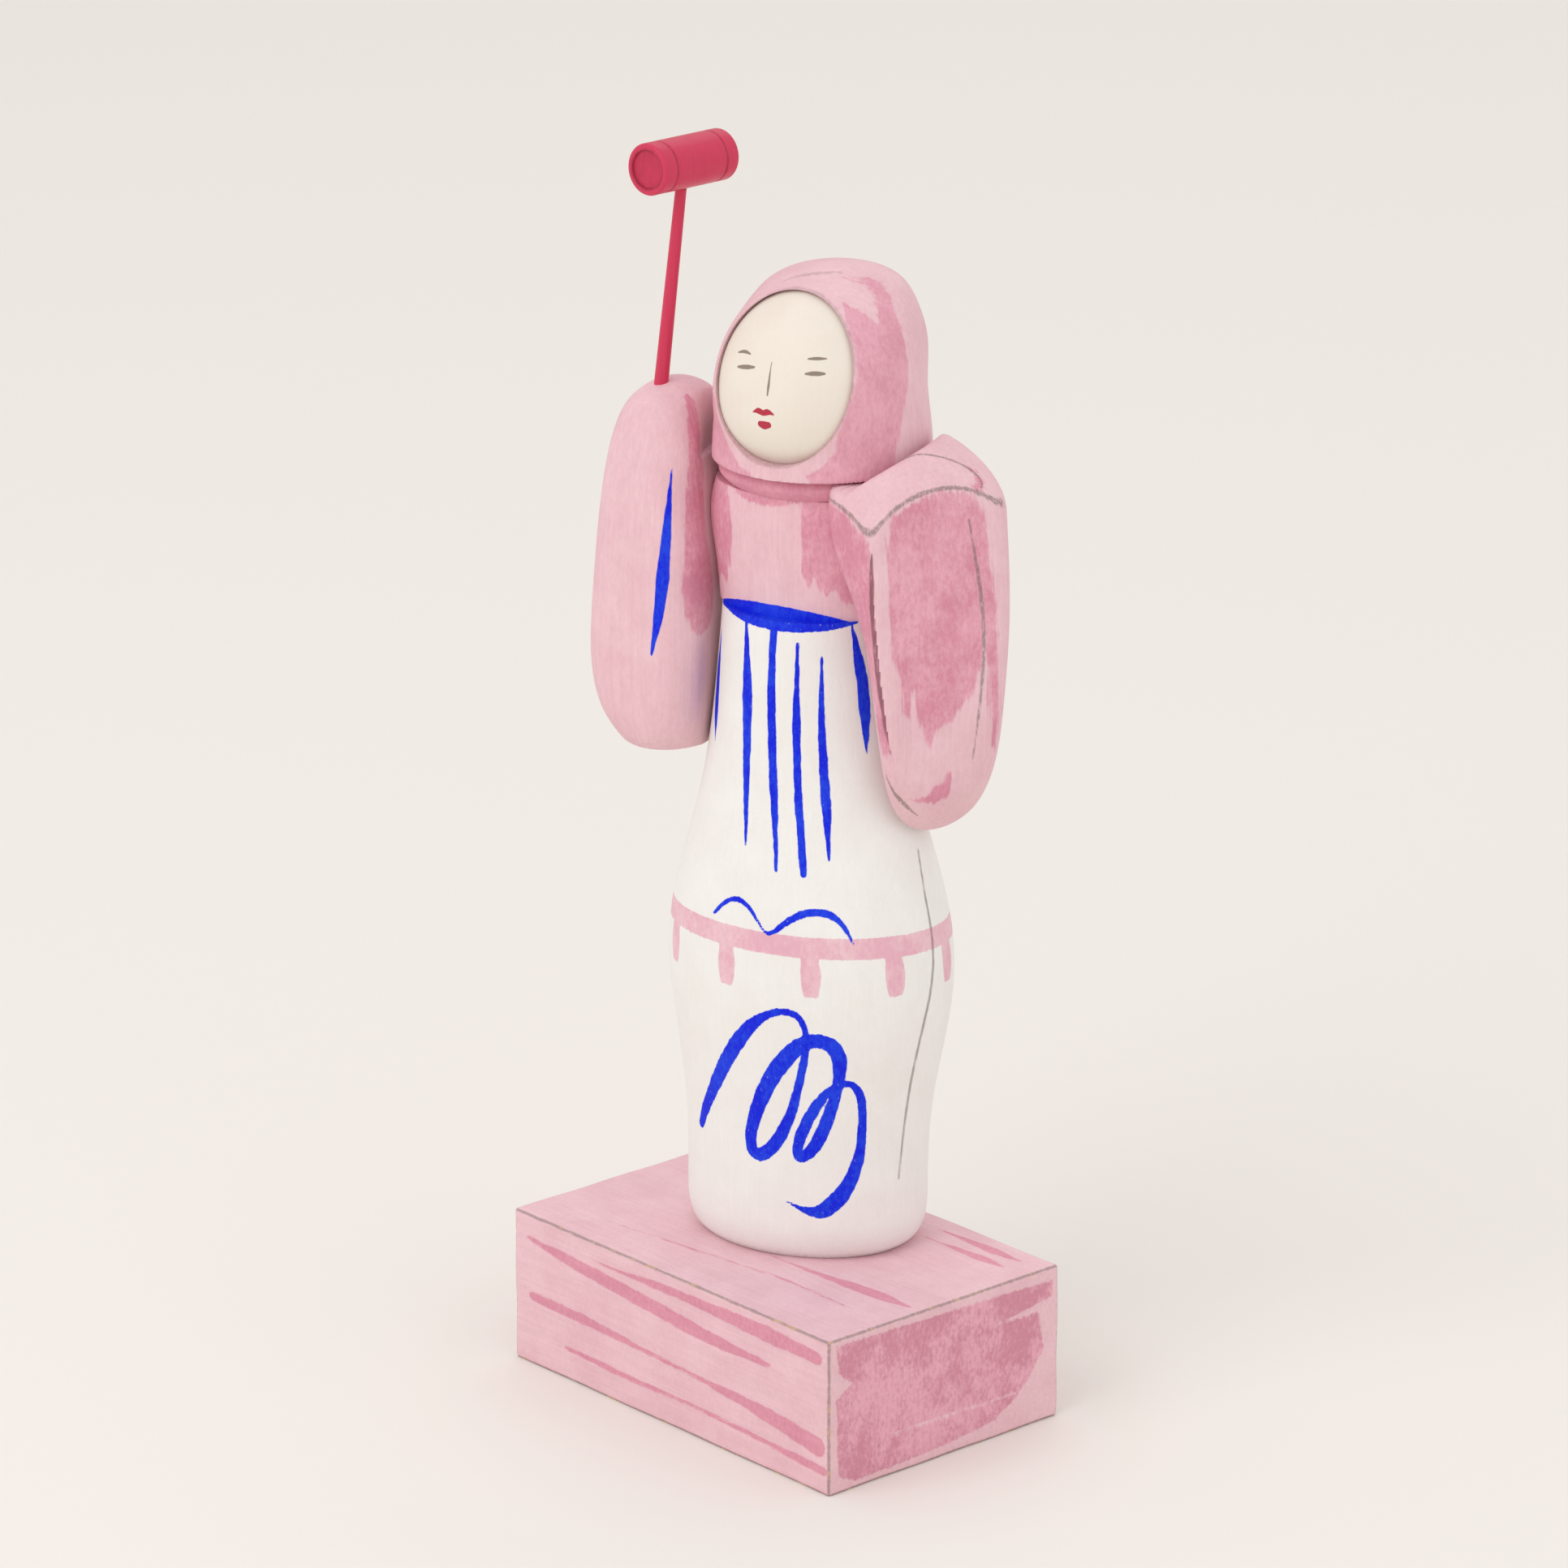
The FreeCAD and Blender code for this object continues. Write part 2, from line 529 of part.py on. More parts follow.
neckDepth = "(Sizes.neck_peg_length + Sizes.dowel_end_gap)"
neckHole = cylinder("neck_hole", "Sizes.neck_radius + Sizes.turn_fit", f"{neckDepth} + Sizes.head_radius",
                    "Sizes.neck_x", "Sizes.neck_y", f"{rimLevel} - {neckDepth}")
hoodReach = "; ".join(f"Sizes.{row[0]}_radius + Sizes.{row[0]}_back" for row in hoodSections)
swing = cylinder("swing_room", f"max({hoodReach}) + Sizes.swing_gap", "Sizes.hood_tip_height", "Sizes.neck_x",
                 "Sizes.neck_y", f"{collarTopLevel} - Sizes.turn_gap")
socket = leanOut(group("handle_socket", [cylinder(
    "handle_bore", "Sizes.handle_grip_radius + Sizes.turn_fit", "2 * Sizes.handle_socket_depth", "0", "0",
    "-Sizes.handle_socket_depth")]))
hangRoom = ovalLoft("hang_room", lowerBodySections, "0", "Sizes.hang_gap")
torsoForm, torso = makeTorso(neckHole)
collarForm, collar = makeCollar(neckHole)
neighbours = [torsoForm, collarForm, hangRoom]

dollPieces = {
    "foot_dowels": group("foot_dowel_pair", footPegs("foot_dowel")),
    "lower_body": makeLowerBody(),
    "waist_dowel": waistPeg("waist_peg"),
    "torso": torso,
    "collar": collar,
    "right_sleeve": makeRightSleeve(swing, neighbours, socket),
    "right_sleeve_dowels": group("right_dowel_pair", sleevePegs("right_dowel", rightSide, -1)),
    "left_sleeve": makeLeftSleeve(swing, neighbours),
    "left_sleeve_dowels": group("left_dowel_pair", sleevePegs("left_dowel", leftSide, 1)),
    "head": makeHead(),
    "hood": makeHood(),
    "mallet_handle": makeHandle(),
    "mallet_head": makeMalletHead(),
}
pieces = {"base_block": makeBlock(footHoles)}
for node, form in dollPieces.items():
    pieces[node] = standOnBlock(group(f"{node}_placed", [form]))

doc.recompute()
for node, piece in pieces.items():
    piece.Label = node
failed = [item.Name for item in doc.Objects if "Invalid" in item.State or "Error" in item.State]
if failed:
    raise RuntimeError(f"these objects failed: {failed}")
for node, piece in pieces.items():
    if piece.Shape.isNull() or not piece.Shape.isValid() or not piece.Shape.Solids:
        raise RuntimeError(f"{node} has no valid solid")
for node, piece in pieces.items():
    piece.Shape.exportStep(f"parts/{node}.step")
    print(f"{node}: {len(piece.Shape.Solids)} solid(s), {piece.Shape.Volume:.1f} cubic mm")
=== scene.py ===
import math

import bpy
import numpy as np
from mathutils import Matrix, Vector


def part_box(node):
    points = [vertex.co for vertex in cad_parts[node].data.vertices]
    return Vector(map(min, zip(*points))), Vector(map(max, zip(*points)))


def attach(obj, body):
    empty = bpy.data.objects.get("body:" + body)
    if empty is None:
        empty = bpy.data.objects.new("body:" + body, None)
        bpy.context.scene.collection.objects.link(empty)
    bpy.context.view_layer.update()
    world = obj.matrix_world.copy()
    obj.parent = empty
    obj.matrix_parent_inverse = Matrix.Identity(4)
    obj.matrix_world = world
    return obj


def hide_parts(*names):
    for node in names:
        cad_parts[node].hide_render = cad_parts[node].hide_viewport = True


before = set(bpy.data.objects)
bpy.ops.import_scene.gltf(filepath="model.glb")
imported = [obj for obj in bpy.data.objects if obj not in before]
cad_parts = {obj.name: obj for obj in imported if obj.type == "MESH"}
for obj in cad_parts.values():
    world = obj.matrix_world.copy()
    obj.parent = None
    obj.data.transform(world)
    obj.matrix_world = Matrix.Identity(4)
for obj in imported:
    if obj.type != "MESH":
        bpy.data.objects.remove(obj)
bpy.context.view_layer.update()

# A hooded, painted wooden doll on a pink block. Shapes are worked out in the doll's own frame in millimetres,
# with the origin at the middle of its foot, +X to the doll's left and its front towards -Y.
dollPlace = {"standX": -1.2, "standY": 6.3, "blockTop": 29.3, "turn": 20.0}
levels = {"waist": 118.0, "torsoTop": 139.6, "collarTop": 143.6, "rim": 143.8}
chest = {"middle": 0.5, "halfWidth": 18.8}
neckLine = {"x": 0.8, "y": 3.5, "bore": 5.05}
millimetre = 0.001
farOff, markLimit = 50.0, 9.0    # a paint field far from any stroke, and the furthest that a mark tells


def toFrame(spots):
    # turned about the foot's middle, moved onto the block, in metres
    angle = math.radians(dollPlace["turn"])
    x, y, z = np.moveaxis(np.asarray(spots, float), -1, 0)
    placed = np.stack([x * math.cos(angle) - y * math.sin(angle) + dollPlace["standX"],
                       x * math.sin(angle) + y * math.cos(angle) + dollPlace["standY"],
                       z + dollPlace["blockTop"]], -1)
    return placed * millimetre


def smoothThrough(knots, values, at):
    # natural cubic spline: second derivatives m solve h0 m0 + 2 (h0 + h1) m1 + h1 m2 = 6 (slope1 - slope0)
    knots, values = np.asarray(knots, float), np.asarray(values, float)
    values = values.reshape(len(knots), -1)
    gaps = np.diff(knots)
    slopes = np.diff(values, axis=0) / gaps[:, None]
    system = np.eye(len(knots))
    ends = np.zeros_like(values)
    for row in range(1, len(knots) - 1):
        system[row, row - 1:row + 2] = gaps[row - 1], 2 * (gaps[row - 1] + gaps[row]), gaps[row]
        ends[row] = 6 * (slopes[row] - slopes[row - 1])
    bends = np.linalg.solve(system, ends)
    at = np.clip(np.asarray(at, float), knots[0], knots[-1])
    step = np.clip(np.searchsorted(knots, at, side="right") - 1, 0, len(gaps) - 1)
    gap = gaps[step][..., None]
    after = (at - knots[step])[..., None] / gap
    before = 1 - after
    curve = (before * values[step] + after * values[step + 1]
             + ((before ** 3 - before) * bends[step] + (after ** 3 - after) * bends[step + 1]) * gap ** 2 / 6)
    return curve


def frontAngles(count, crowding):
    # angles round a piece, 0 at the front and turning to the doll's left, crowded together at the front:
    # t - crowding * sin(t)
    turn = np.linspace(-math.pi, math.pi, count, endpoint=False)
    return turn - crowding * np.sin(turn)


def ovalAt(table, level):
    # width, depth, x and y of the oval at a level, through a table of (level, width, depth, x, y)
    table = np.asarray(table, float)
    return np.moveaxis(smoothThrough(table[:, 0], table[:, 1:], level), -1, 0)


def ovalSpots(table, angle, level, grow=0.0):
    # spot on the oval skin: x + half width * sin(angle), y - half depth * cos(angle)
    width, depth, x, y = ovalAt(table, level)
    return np.stack(np.broadcast_arrays(x + (width / 2 + grow) * np.sin(angle),
                                        y - (depth / 2 + grow) * np.cos(angle), level), -1)


def ovalField(table, spots):
    # about how far a spot lies outside the oval at its level, in millimetres
    table = np.asarray(table, float)
    x, y, z = np.moveaxis(spots, -1, 0)
    width, depth, middleX, middleY = ovalAt(table, z)
    ringShare = np.hypot((x - middleX) / (width / 2), (y - middleY) / (depth / 2))
    sides = (ringShare - 1) * (width + depth) / 4
    return np.maximum(sides, np.maximum(z - table[-1, 0], table[0, 0] - z))


def eggField(spots, middle, radii):
    # about how far a spot lies outside an ellipsoid
    scaled = (spots - np.asarray(middle)) / np.asarray(radii)
    return (np.linalg.norm(scaled, axis=-1) - 1) * min(radii)


def roundMost(first, second, rounding):
    # the larger of two fields, with the crease between them rounded
    near = np.maximum(rounding - np.abs(first - second), 0) / rounding
    return np.maximum(first, second) + near * near * rounding / 4


def roundLeast(first, second, rounding):
    return -roundMost(-first, -second, rounding)


def outwards(field, heart, directions, reach, steps=56, halvings=18):
    # how far each direction runs from the heart before the field first rises through zero
    heart = np.asarray(heart, float)
    trial = np.linspace(0, reach, steps + 1)[1:]
    outside = np.stack([field(heart + directions * r) > 0 for r in trial])
    outside[-1] = True
    first = np.argmax(outside, axis=0)
    far = trial[first]
    near = far - reach / steps
    for _ in range(halvings):
        half = (near + far) / 2
        beyond = field(heart + directions * half[..., None]) > 0
        far = np.where(beyond, half, far)
        near = np.where(beyond, near, half)
    return (near + far) / 2


def carve(field, look):
    # skin of a star-shaped form: latitudes and longitudes of an ellipsoid give the directions from its heart
    heart, radii = look["heart"], look["radii"]
    latitude = np.radians(np.linspace(-look["steepest"], look["steepest"], look["rows"]))[:, None]
    longitude = frontAngles(look["columns"], look["crowding"])[None, :]
    flat = np.stack(np.broadcast_arrays(radii[0] * np.cos(latitude) * np.sin(longitude),
                                        -radii[1] * np.cos(latitude) * np.cos(longitude),
                                        radii[2] * np.sin(latitude)), -1)
    return layOn(field, heart, np.asarray(heart) + flat, look["reach"])


def layOn(field, heart, points, reach):
    # moves points along their rays from the heart until they lie on the skin
    rays = np.asarray(points, float) - np.asarray(heart, float)
    directions = rays / np.linalg.norm(rays, axis=-1, keepdims=True)
    return np.asarray(heart) + directions * outwards(field, heart, directions, reach)[..., None]


def alongPath(path, count):
    # evenly numbered spots on a smooth curve through the path's points
    path = np.asarray(path, float)
    return smoothThrough(np.arange(len(path)), path, np.linspace(0, len(path) - 1, count))


def strokeField(spots, path, halfWidths):
    # least over the path's short runs of (distance to the run - half width there): negative inside a stroke
    flat = spots.reshape(-1, 3)
    halfWidths = np.interp(np.linspace(0, 1, len(path)), np.linspace(0, 1, len(halfWidths)), halfWidths)
    field = np.full(len(flat), farOff)
    for start, end, wide, wideAfter in zip(path[:-1], path[1:], halfWidths[:-1], halfWidths[1:]):
        run = end - start
        share = np.clip((flat - start) @ run / max(run @ run, 1e-9), 0, 1)
        gap = np.linalg.norm(flat - start - share[:, None] * run, axis=-1)
        field = np.minimum(field, gap - (wide + (wideAfter - wide) * share))
    return field.reshape(spots.shape[:-1])


def leastStroke(spots, strokes, lay):
    # least of several strokes' fields; a stroke is its points, its half widths and the count of spots that lay
    # puts along it on the skin
    field = np.full(spots.shape[:-1], farOff)
    for points, halfWidths, count in strokes:
        field = np.minimum(field, strokeField(spots, lay(points, count), halfWidths))
    return field


def patchField(across, up, corners):
    # signed distance to a painted patch given by its corners: nearest side, negative where an upward line
    # crosses the outline an odd number of times
    corners = np.asarray(corners, float)
    field = np.full(np.shape(across), farOff)
    inside = np.zeros(np.shape(across), bool)
    for (fromX, fromY), (toX, toY) in zip(corners, np.roll(corners, -1, 0)):
        runX, runY = toX - fromX, toY - fromY
        share = np.clip(((across - fromX) * runX + (up - fromY) * runY) / (runX ** 2 + runY ** 2), 0, 1)
        field = np.minimum(field, np.hypot(across - fromX - share * runX, up - fromY - share * runY))
        crosses = (fromX > across) != (toX > across)
        level = fromY + (across - fromX) * runY / np.where(runX == 0, 1e-9, runX)
        inside ^= crosses & (up < level)
    return np.where(inside, -field, field)


def gridQuads(index):
    # a quad for each cell of a grid of spot numbers
    return np.stack([index[:-1, :-1], index[:-1, 1:], index[1:, 1:], index[1:, :-1]], -1).reshape(-1, 4)


def closedSkin(rings):
    # quads between level rings of equal count, and a fan of triangles over each end
    count, columns = rings.shape[:2]
    index = np.pad(np.arange(count * columns).reshape(count, columns), ((0, 0), (0, 1)), mode="wrap")
    first, last = (np.full(columns, count * columns + end) for end in (0, 1))
    under = np.stack([index[0, 1:], index[0, :-1], first], -1)
    over = np.stack([index[-1, :-1], index[-1, 1:], last], -1)
    spots = np.concatenate([rings.reshape(-1, 3), [rings[0].mean(0)], [rings[-1].mean(0)]])
    return spots, gridQuads(index).tolist() + under.tolist() + over.tolist()


def turned(profile, angles):
    # a profile of (radius, height) pairs carried round the upright axis
    profile = np.asarray(profile, float)
    return np.stack([profile[:, :1] * np.sin(angles), -profile[:, :1] * np.cos(angles),
                     np.repeat(profile[:, 1:], len(angles), 1)], -1)


def newObject(name, spots, faces, material):
    # a smooth mesh object at the origin, with its place in its mesh
    mesh = bpy.data.meshes.new(name)
    mesh.from_pydata(spots.tolist(), [], faces)
    mesh.update()
    mesh.shade_smooth()
    mesh.materials.append(material)
    made = bpy.data.objects.new(name, mesh)
    bpy.context.scene.collection.objects.link(made)
    return made


def newPiece(name, spots, faces, body, node, material, marks, sharpest=40.0):
    # a piece in the frame's metres, smooth but for creases steeper than the given angle
    piece = newObject(name, spots, faces, material)
    for mark, values in marks.items():
        layer = piece.data.attributes.new(mark, "FLOAT", "POINT")
        layer.data.foreach_set("value", np.clip(values, -markLimit, markLimit).astype(np.float32).ravel())
    piece.data.set_sharp_from_angle(angle=math.radians(sharpest))
    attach(piece, body)
    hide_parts(node)
    apart = np.abs(np.array([spots.min(0), spots.max(0)]) - np.array(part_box(node))).max() / millimetre
    print(f"{name}: furthest side off its node by {apart:.2f} mm")


def skinPiece(name, rings, body, node, material, marks, sharpest=40.0):
    # a closed piece from rings in the doll's frame; a mark has a value for each spot of them, and its mean over
    # an end ring goes to the middle of that end
    spots, faces = closedSkin(rings)
    ended = {mark: np.concatenate([field.ravel(), [field[0].mean()], [field[-1].mean()]])
             for mark, field in marks.items()}
    newPiece(name, toFrame(spots), faces, body, node, material, ended, sharpest)


def linear(red, green, blue):
    # colour written as 0 to 255 on the screen, as the shader wants it
    screen = [value / 255 for value in (red, green, blue)]
    return tuple(value / 12.92 if value <= 0.04045 else ((value + 0.055) / 1.055) ** 2.4 for value in screen) + (1.0,)


pigments = {name: linear(*shade) for name, shade in {
    "palePink": (236, 198, 204), "softPink": (228, 184, 192), "thinRose": (231, 170, 185), "rose": (226, 158, 174),
    "deepRose": (214, 140, 159), "hoodRose": (218, 152, 168), "plumRose": (208, 138, 157), "beltPink": (228, 174, 189),
    "cream": (236, 228, 216), "warmCream": (233, 222, 209), "white": (241, 239, 236), "chalk": (236, 232, 227),
    "blue": (0, 26, 220), "dryBlue": (26, 66, 228), "lips": (182, 50, 70), "ink": (120, 106, 99),
    "softInk": (142, 128, 114), "plumInk": (120, 72, 84), "crimson": (205, 54, 86), "wine": (160, 34, 64),
    "wood": (214, 178, 130), "woodLine": (176, 132, 84), "paper": (238, 233, 227)}.items()}
# noises: cells to the metre, detail and roughness
noises = {"bristles": (1100.0, 4.0, 0.62), "specks": (3300.0, 2.0, 0.7), "pools": (130.0, 3.0, 0.55),
          "fine": (1300.0, 4.0, 0.75), "lines": (1500.0, 3.0, 0.6), "pores": (3200.0, 1.0, 0.55),
          "toolMarks": (160.0, 2.0, 0.55), "rubbed": (420.0, 4.0, 0.65)}
# how far bristles shift an edge, the specks left bare where the cover is thin, a wash's middling depth, and pores
brush = {"shift": 4.0, "thinnest": 1.12, "specksFrom": 0.62, "specksOver": 0.16, "middling": 0.6, "pores": 0.4}


def addNode(tree, kind, inputs=None, **settings):
    # a node with its settings; each input is a value or the socket that feeds it
    node = tree.nodes.new(kind)
    for setting, value in settings.items():
        setattr(node, setting, value)
    for socket, value in (inputs or {}).items():
        if isinstance(value, bpy.types.NodeSocket):
            tree.links.new(value, node.inputs[socket])
        else:
            node.inputs[socket].default_value = value
    return node


def placed(tree, group, inputs):
    return addNode(tree, "ShaderNodeGroup", inputs, node_tree=group).outputs


def calculate(tree, operation, first, second=0.0, third=0.0):
    return addNode(tree, "ShaderNodeMath", {0: first, 1: second, 2: third}, operation=operation).outputs[0]


def blendColour(tree, share, under, over, blendType="MIX"):
    return addNode(tree, "ShaderNodeMix", {"Factor": share, 6: under, 7: over}, data_type="RGBA",
                   blend_type=blendType).outputs[2]


def rescale(tree, value, low, high, newLow=0.0, newHigh=1.0, kind="SMOOTHSTEP"):
    return addNode(tree, "ShaderNodeMapRange", {"Value": value, "From Min": low, "From Max": high, "To Min": newLow,
                                                "To Max": newHigh}, interpolation_type=kind).outputs["Result"]


def stretched(tree, vector, scale, turn=(0.0, 0.0, 0.0)):
    return addNode(tree, "ShaderNodeMapping", {"Vector": vector, "Scale": scale, "Rotation": turn}).outputs["Vector"]


def cloud(tree, vector, kind, drawnOut=1.0):
    # one of the noises; drawnOut below 1 lengthens it along the grain
    scale, detail, roughness = noises[kind]
    if drawnOut < 1:
        vector = stretched(tree, vector, (1, 1, drawnOut))
    return addNode(tree, "ShaderNodeTexNoise", {"Vector": vector, "Scale": scale, "Detail": detail,
                                                "Roughness": roughness}).outputs["Fac"]


def attribute(tree, name):
    return addNode(tree, "ShaderNodeAttribute", attribute_name=name).outputs["Fac"]


def newGroup(name, inputs, outputs):
    # an empty shader group; sockets are given as name: (kind, default)
    group = bpy.data.node_groups.new(name, "ShaderNodeTree")
    for socket, (kind, default) in inputs.items():
        made = group.interface.new_socket(name=socket, in_out="INPUT", socket_type=f"NodeSocket{kind}")
        if default is not None:
            made.default_value = default
    for socket, kind in outputs.items():
        group.interface.new_socket(name=socket, in_out="OUTPUT", socket_type=f"NodeSocket{kind}")
    return group, addNode(group, "NodeGroupInput").outputs, addNode(group, "NodeGroupOutput")


def makeBrushEdge():
    # mask of a brushed area from its field in millimetres: ragged, streaky edge and thin spots in the cover
    group, given, result = newGroup("brushEdge", {
        "Field": ("Float", 1.0), "Vector": ("Vector", None), "Soft": ("Float", 0.1), "Ragged": ("Float", 0.1),
        "Streak": ("Float", 0.3), "Cover": ("Float", 1.0)}, {"Mask": "Float"})
    grainwise = addNode(group, "ShaderNodeCombineXYZ", {"X": 1.0, "Y": 1.0, "Z": given["Streak"]}).outputs[0]
    bristles = addNode(group, "ShaderNodeVectorMath", {0: given["Vector"], 1: grainwise},
                       operation="MULTIPLY").outputs[0]
    rough = cloud(group, bristles, "bristles")
    shift = calculate(group, "MULTIPLY", calculate(group, "SUBTRACT", rough, 0.5), given["Ragged"])
    edge = calculate(group, "MULTIPLY_ADD", shift, brush["shift"], given["Field"])
    inside = rescale(group, edge, given["Soft"], calculate(group, "MULTIPLY", given["Soft"], -1.0))
    speck = cloud(group, bristles, "specks")
    thinness = calculate(group, "SUBTRACT", brush["thinnest"], given["Cover"])
    covered = rescale(group, speck, calculate(group, "MULTIPLY", thinness, brush["specksFrom"]),
                      calculate(group, "ADD", thinness, brush["specksOver"]))
    group.links.new(calculate(group, "MULTIPLY", inside, covered), result.inputs["Mask"])
    return group


def makeWash():
    # watery colour: broad pools and fine speckle of the ground showing through, both about a middling depth
    group, given, result = newGroup("wash", {
        "Vector": ("Vector", None), "Thin": ("Color", (1, 1, 1, 1)), "Full": ("Color", (0, 0, 0, 1)),
        "Pools": ("Float", 0.5), "Speckle": ("Float", 0.3)}, {"Color": "Color", "Depth": "Float"})
    pools = rescale(group, cloud(group, given["Vector"], "pools"), 0.3, 0.7)
    fine = rescale(group, cloud(group, given["Vector"], "fine", 0.6), 0.3, 0.72)
    depth = calculate(group, "MULTIPLY_ADD", calculate(group, "SUBTRACT", pools, 0.5), given["Pools"],
                      brush["middling"])
    depth = calculate(group, "MULTIPLY_ADD", calculate(group, "SUBTRACT", fine, 0.5), given["Speckle"], depth)
    depth = rescale(group, depth, 0.0, 1.0, kind="LINEAR")
    group.links.new(blendColour(group, depth, given["Thin"], given["Full"]), result.inputs["Color"])
    group.links.new(depth, result.inputs["Depth"])
    return group


def makeTooth():
    # surface of turned or carved wood under thin paint: close lines along the grain, pores and faint tool marks
    group, given, result = newGroup("woodTooth", {
        "Vector": ("Vector", None), "Lines": ("Float", 1.0), "Marks": ("Float", 1.0), "Grain": ("Float", 0.1)},
        {"Height": "Float", "Shade": "Float"})
    lines, pores, marks = (cloud(group, given["Vector"], kind, drawnOut) for kind, drawnOut in
                           (("lines", 0.035), ("pores", 0.12), ("toolMarks", 0.5)))
    height = calculate(group, "MULTIPLY", lines, given["Lines"])
    height = calculate(group, "MULTIPLY_ADD", marks, given["Marks"], height)
    pits = calculate(group, "MULTIPLY", rescale(group, pores, 0.62, 0.78), brush["pores"])
    height = calculate(group, "SUBTRACT", height, pits)
    group.links.new(height, result.inputs["Height"])
    streaks = calculate(group, "SUBTRACT", rescale(group, lines, 0.3, 0.7), 0.6)
    group.links.new(calculate(group, "MULTIPLY_ADD", streaks, given["Grain"], 1.0), result.inputs["Shade"])
    return group


def makeRubbed():
    # rubbed edges: near an edge, patches of thinner, paler paint
    group, given, result = newGroup("rubbedEdge", {
        "Edge": ("Float", 9.0), "Vector": ("Vector", None), "Width": ("Float", 0.6)}, {"Mask": "Float"})
    patchy = cloud(group, given["Vector"], "rubbed")
    reach = calculate(group, "MULTIPLY", given["Width"], rescale(group, patchy, 0.42, 0.7))
    group.links.new(calculate(group, "LESS_THAN", given["Edge"], reach), result.inputs["Mask"])
    return group


brushEdge, wash, woodTooth, rubbedEdge = makeBrushEdge(), makeWash(), makeTooth(), makeRubbed()
# the ground coat, one brushed layer, and the layers that several pieces share; each piece changes what it needs
matte = {"thin": "palePink", "full": "softPink", "pools": 0.6, "speckle": 0.5, "lines": 0.7, "marks": 0.5,
         "grain": 0.06, "grainTurn": (0.0, 0.0, 0.0), "bump": 0.4, "bumpDepth": 0.00025, "rough": 0.62,
         "thinRougher": 0.06, "fullSmoother": 0.05, "specular": 0.22, "coat": 0.0, "coatRough": 0.25, "wear": 0.0,
         "wearShows": 0.6}
plainLayer = {"soft": 0.12, "ragged": 0.1, "streak": 0.3, "cover": 1.0, "strength": 1.0, "pools": 0.4,
              "speckle": 0.3, "body": 0.25}
# roseWash: the deep rose brushed wash; it makes the block's grain strokes, and it lays painted shade on the block's
# ends, the coat, the sleeves and the hood
roseWash = dict(plainLayer, paint="deepRose", thin="thinRose", ragged=0.6, soft=0.3, streak=0.12, cover=0.93,
                speckle=0.8, pools=0.8)
blueBrush = dict(plainLayer, paint="blue", thin="dryBlue", pools=0.9, speckle=1.1, soft=0.1, body=0.5)
# grey ink, for drawn lines and for painted shadow at the body's foot and on the hood's crown
inkLineAndShade = dict(plainLayer, paint="ink")


def paintMaterial(name, layers, **changes):
    # ground wash, then one brushed layer after another, over the wood's tooth; layers are given as mark: layer
    look = dict(matte, **changes)
    material = bpy.data.materials.new(name)
    material.use_nodes = True
    tree = material.node_tree
    tree.nodes.clear()
    coords = addNode(tree, "ShaderNodeTexCoord").outputs["Object"]
    alongGrain = stretched(tree, coords, (1, 1, 1), look["grainTurn"])

    def washOf(wet):
        return placed(tree, wash, {
            "Vector": coords, "Thin": pigments[wet.get("thin", wet.get("paint"))],
            "Full": pigments[wet.get("full", wet.get("paint"))], "Pools": wet["pools"], "Speckle": wet["speckle"]})
    ground = washOf(look)
    tooth = placed(tree, woodTooth, {"Vector": alongGrain, "Lines": look["lines"], "Marks": look["marks"],
                                     "Grain": look["grain"]})
    colour, height = ground["Color"], tooth["Height"]
    roughness = rescale(tree, ground["Depth"], 0, 1, look["rough"] + look["thinRougher"],
                        look["rough"] - look["fullSmoother"], "LINEAR")
    for mark, layer in layers.items():
        mask = placed(tree, brushEdge, {
            "Field": attribute(tree, mark), "Vector": alongGrain, "Soft": layer["soft"], "Ragged": layer["ragged"],
            "Streak": layer["streak"], "Cover": layer["cover"]})["Mask"]
        mask = calculate(tree, "MULTIPLY", mask, layer["strength"])
        colour = blendColour(tree, mask, colour, washOf(layer)["Color"])
        height = calculate(tree, "MULTIPLY_ADD", mask, layer["body"], height)
    shade = addNode(tree, "ShaderNodeCombineColor", {channel: tooth["Shade"] for channel in range(3)}).outputs[0]
    colour = blendColour(tree, 1.0, colour, shade, "MULTIPLY")
    if look["wear"]:
        rubbed = placed(tree, rubbedEdge, {"Edge": attribute(tree, "edge"), "Vector": coords,
                                           "Width": look["wear"]})["Mask"]
        colour = blendColour(tree, calculate(tree, "MULTIPLY", rubbed, look["wearShows"]), colour,
                             pigments["wood"])
    bump = addNode(tree, "ShaderNodeBump", {"Strength": look["bump"], "Distance": look["bumpDepth"],
                                              "Height": height})
    shader = addNode(tree, "ShaderNodeBsdfPrincipled", {
        "Base Color": colour, "Roughness": roughness, "Normal": bump.outputs["Normal"],
        "Specular IOR Level": look["specular"], "Coat Weight": look["coat"], "Coat Roughness": look["coatRough"]})
    addNode(tree, "ShaderNodeOutputMaterial", {"Surface": shader.outputs[0]})
    return material


print("paints mixed")
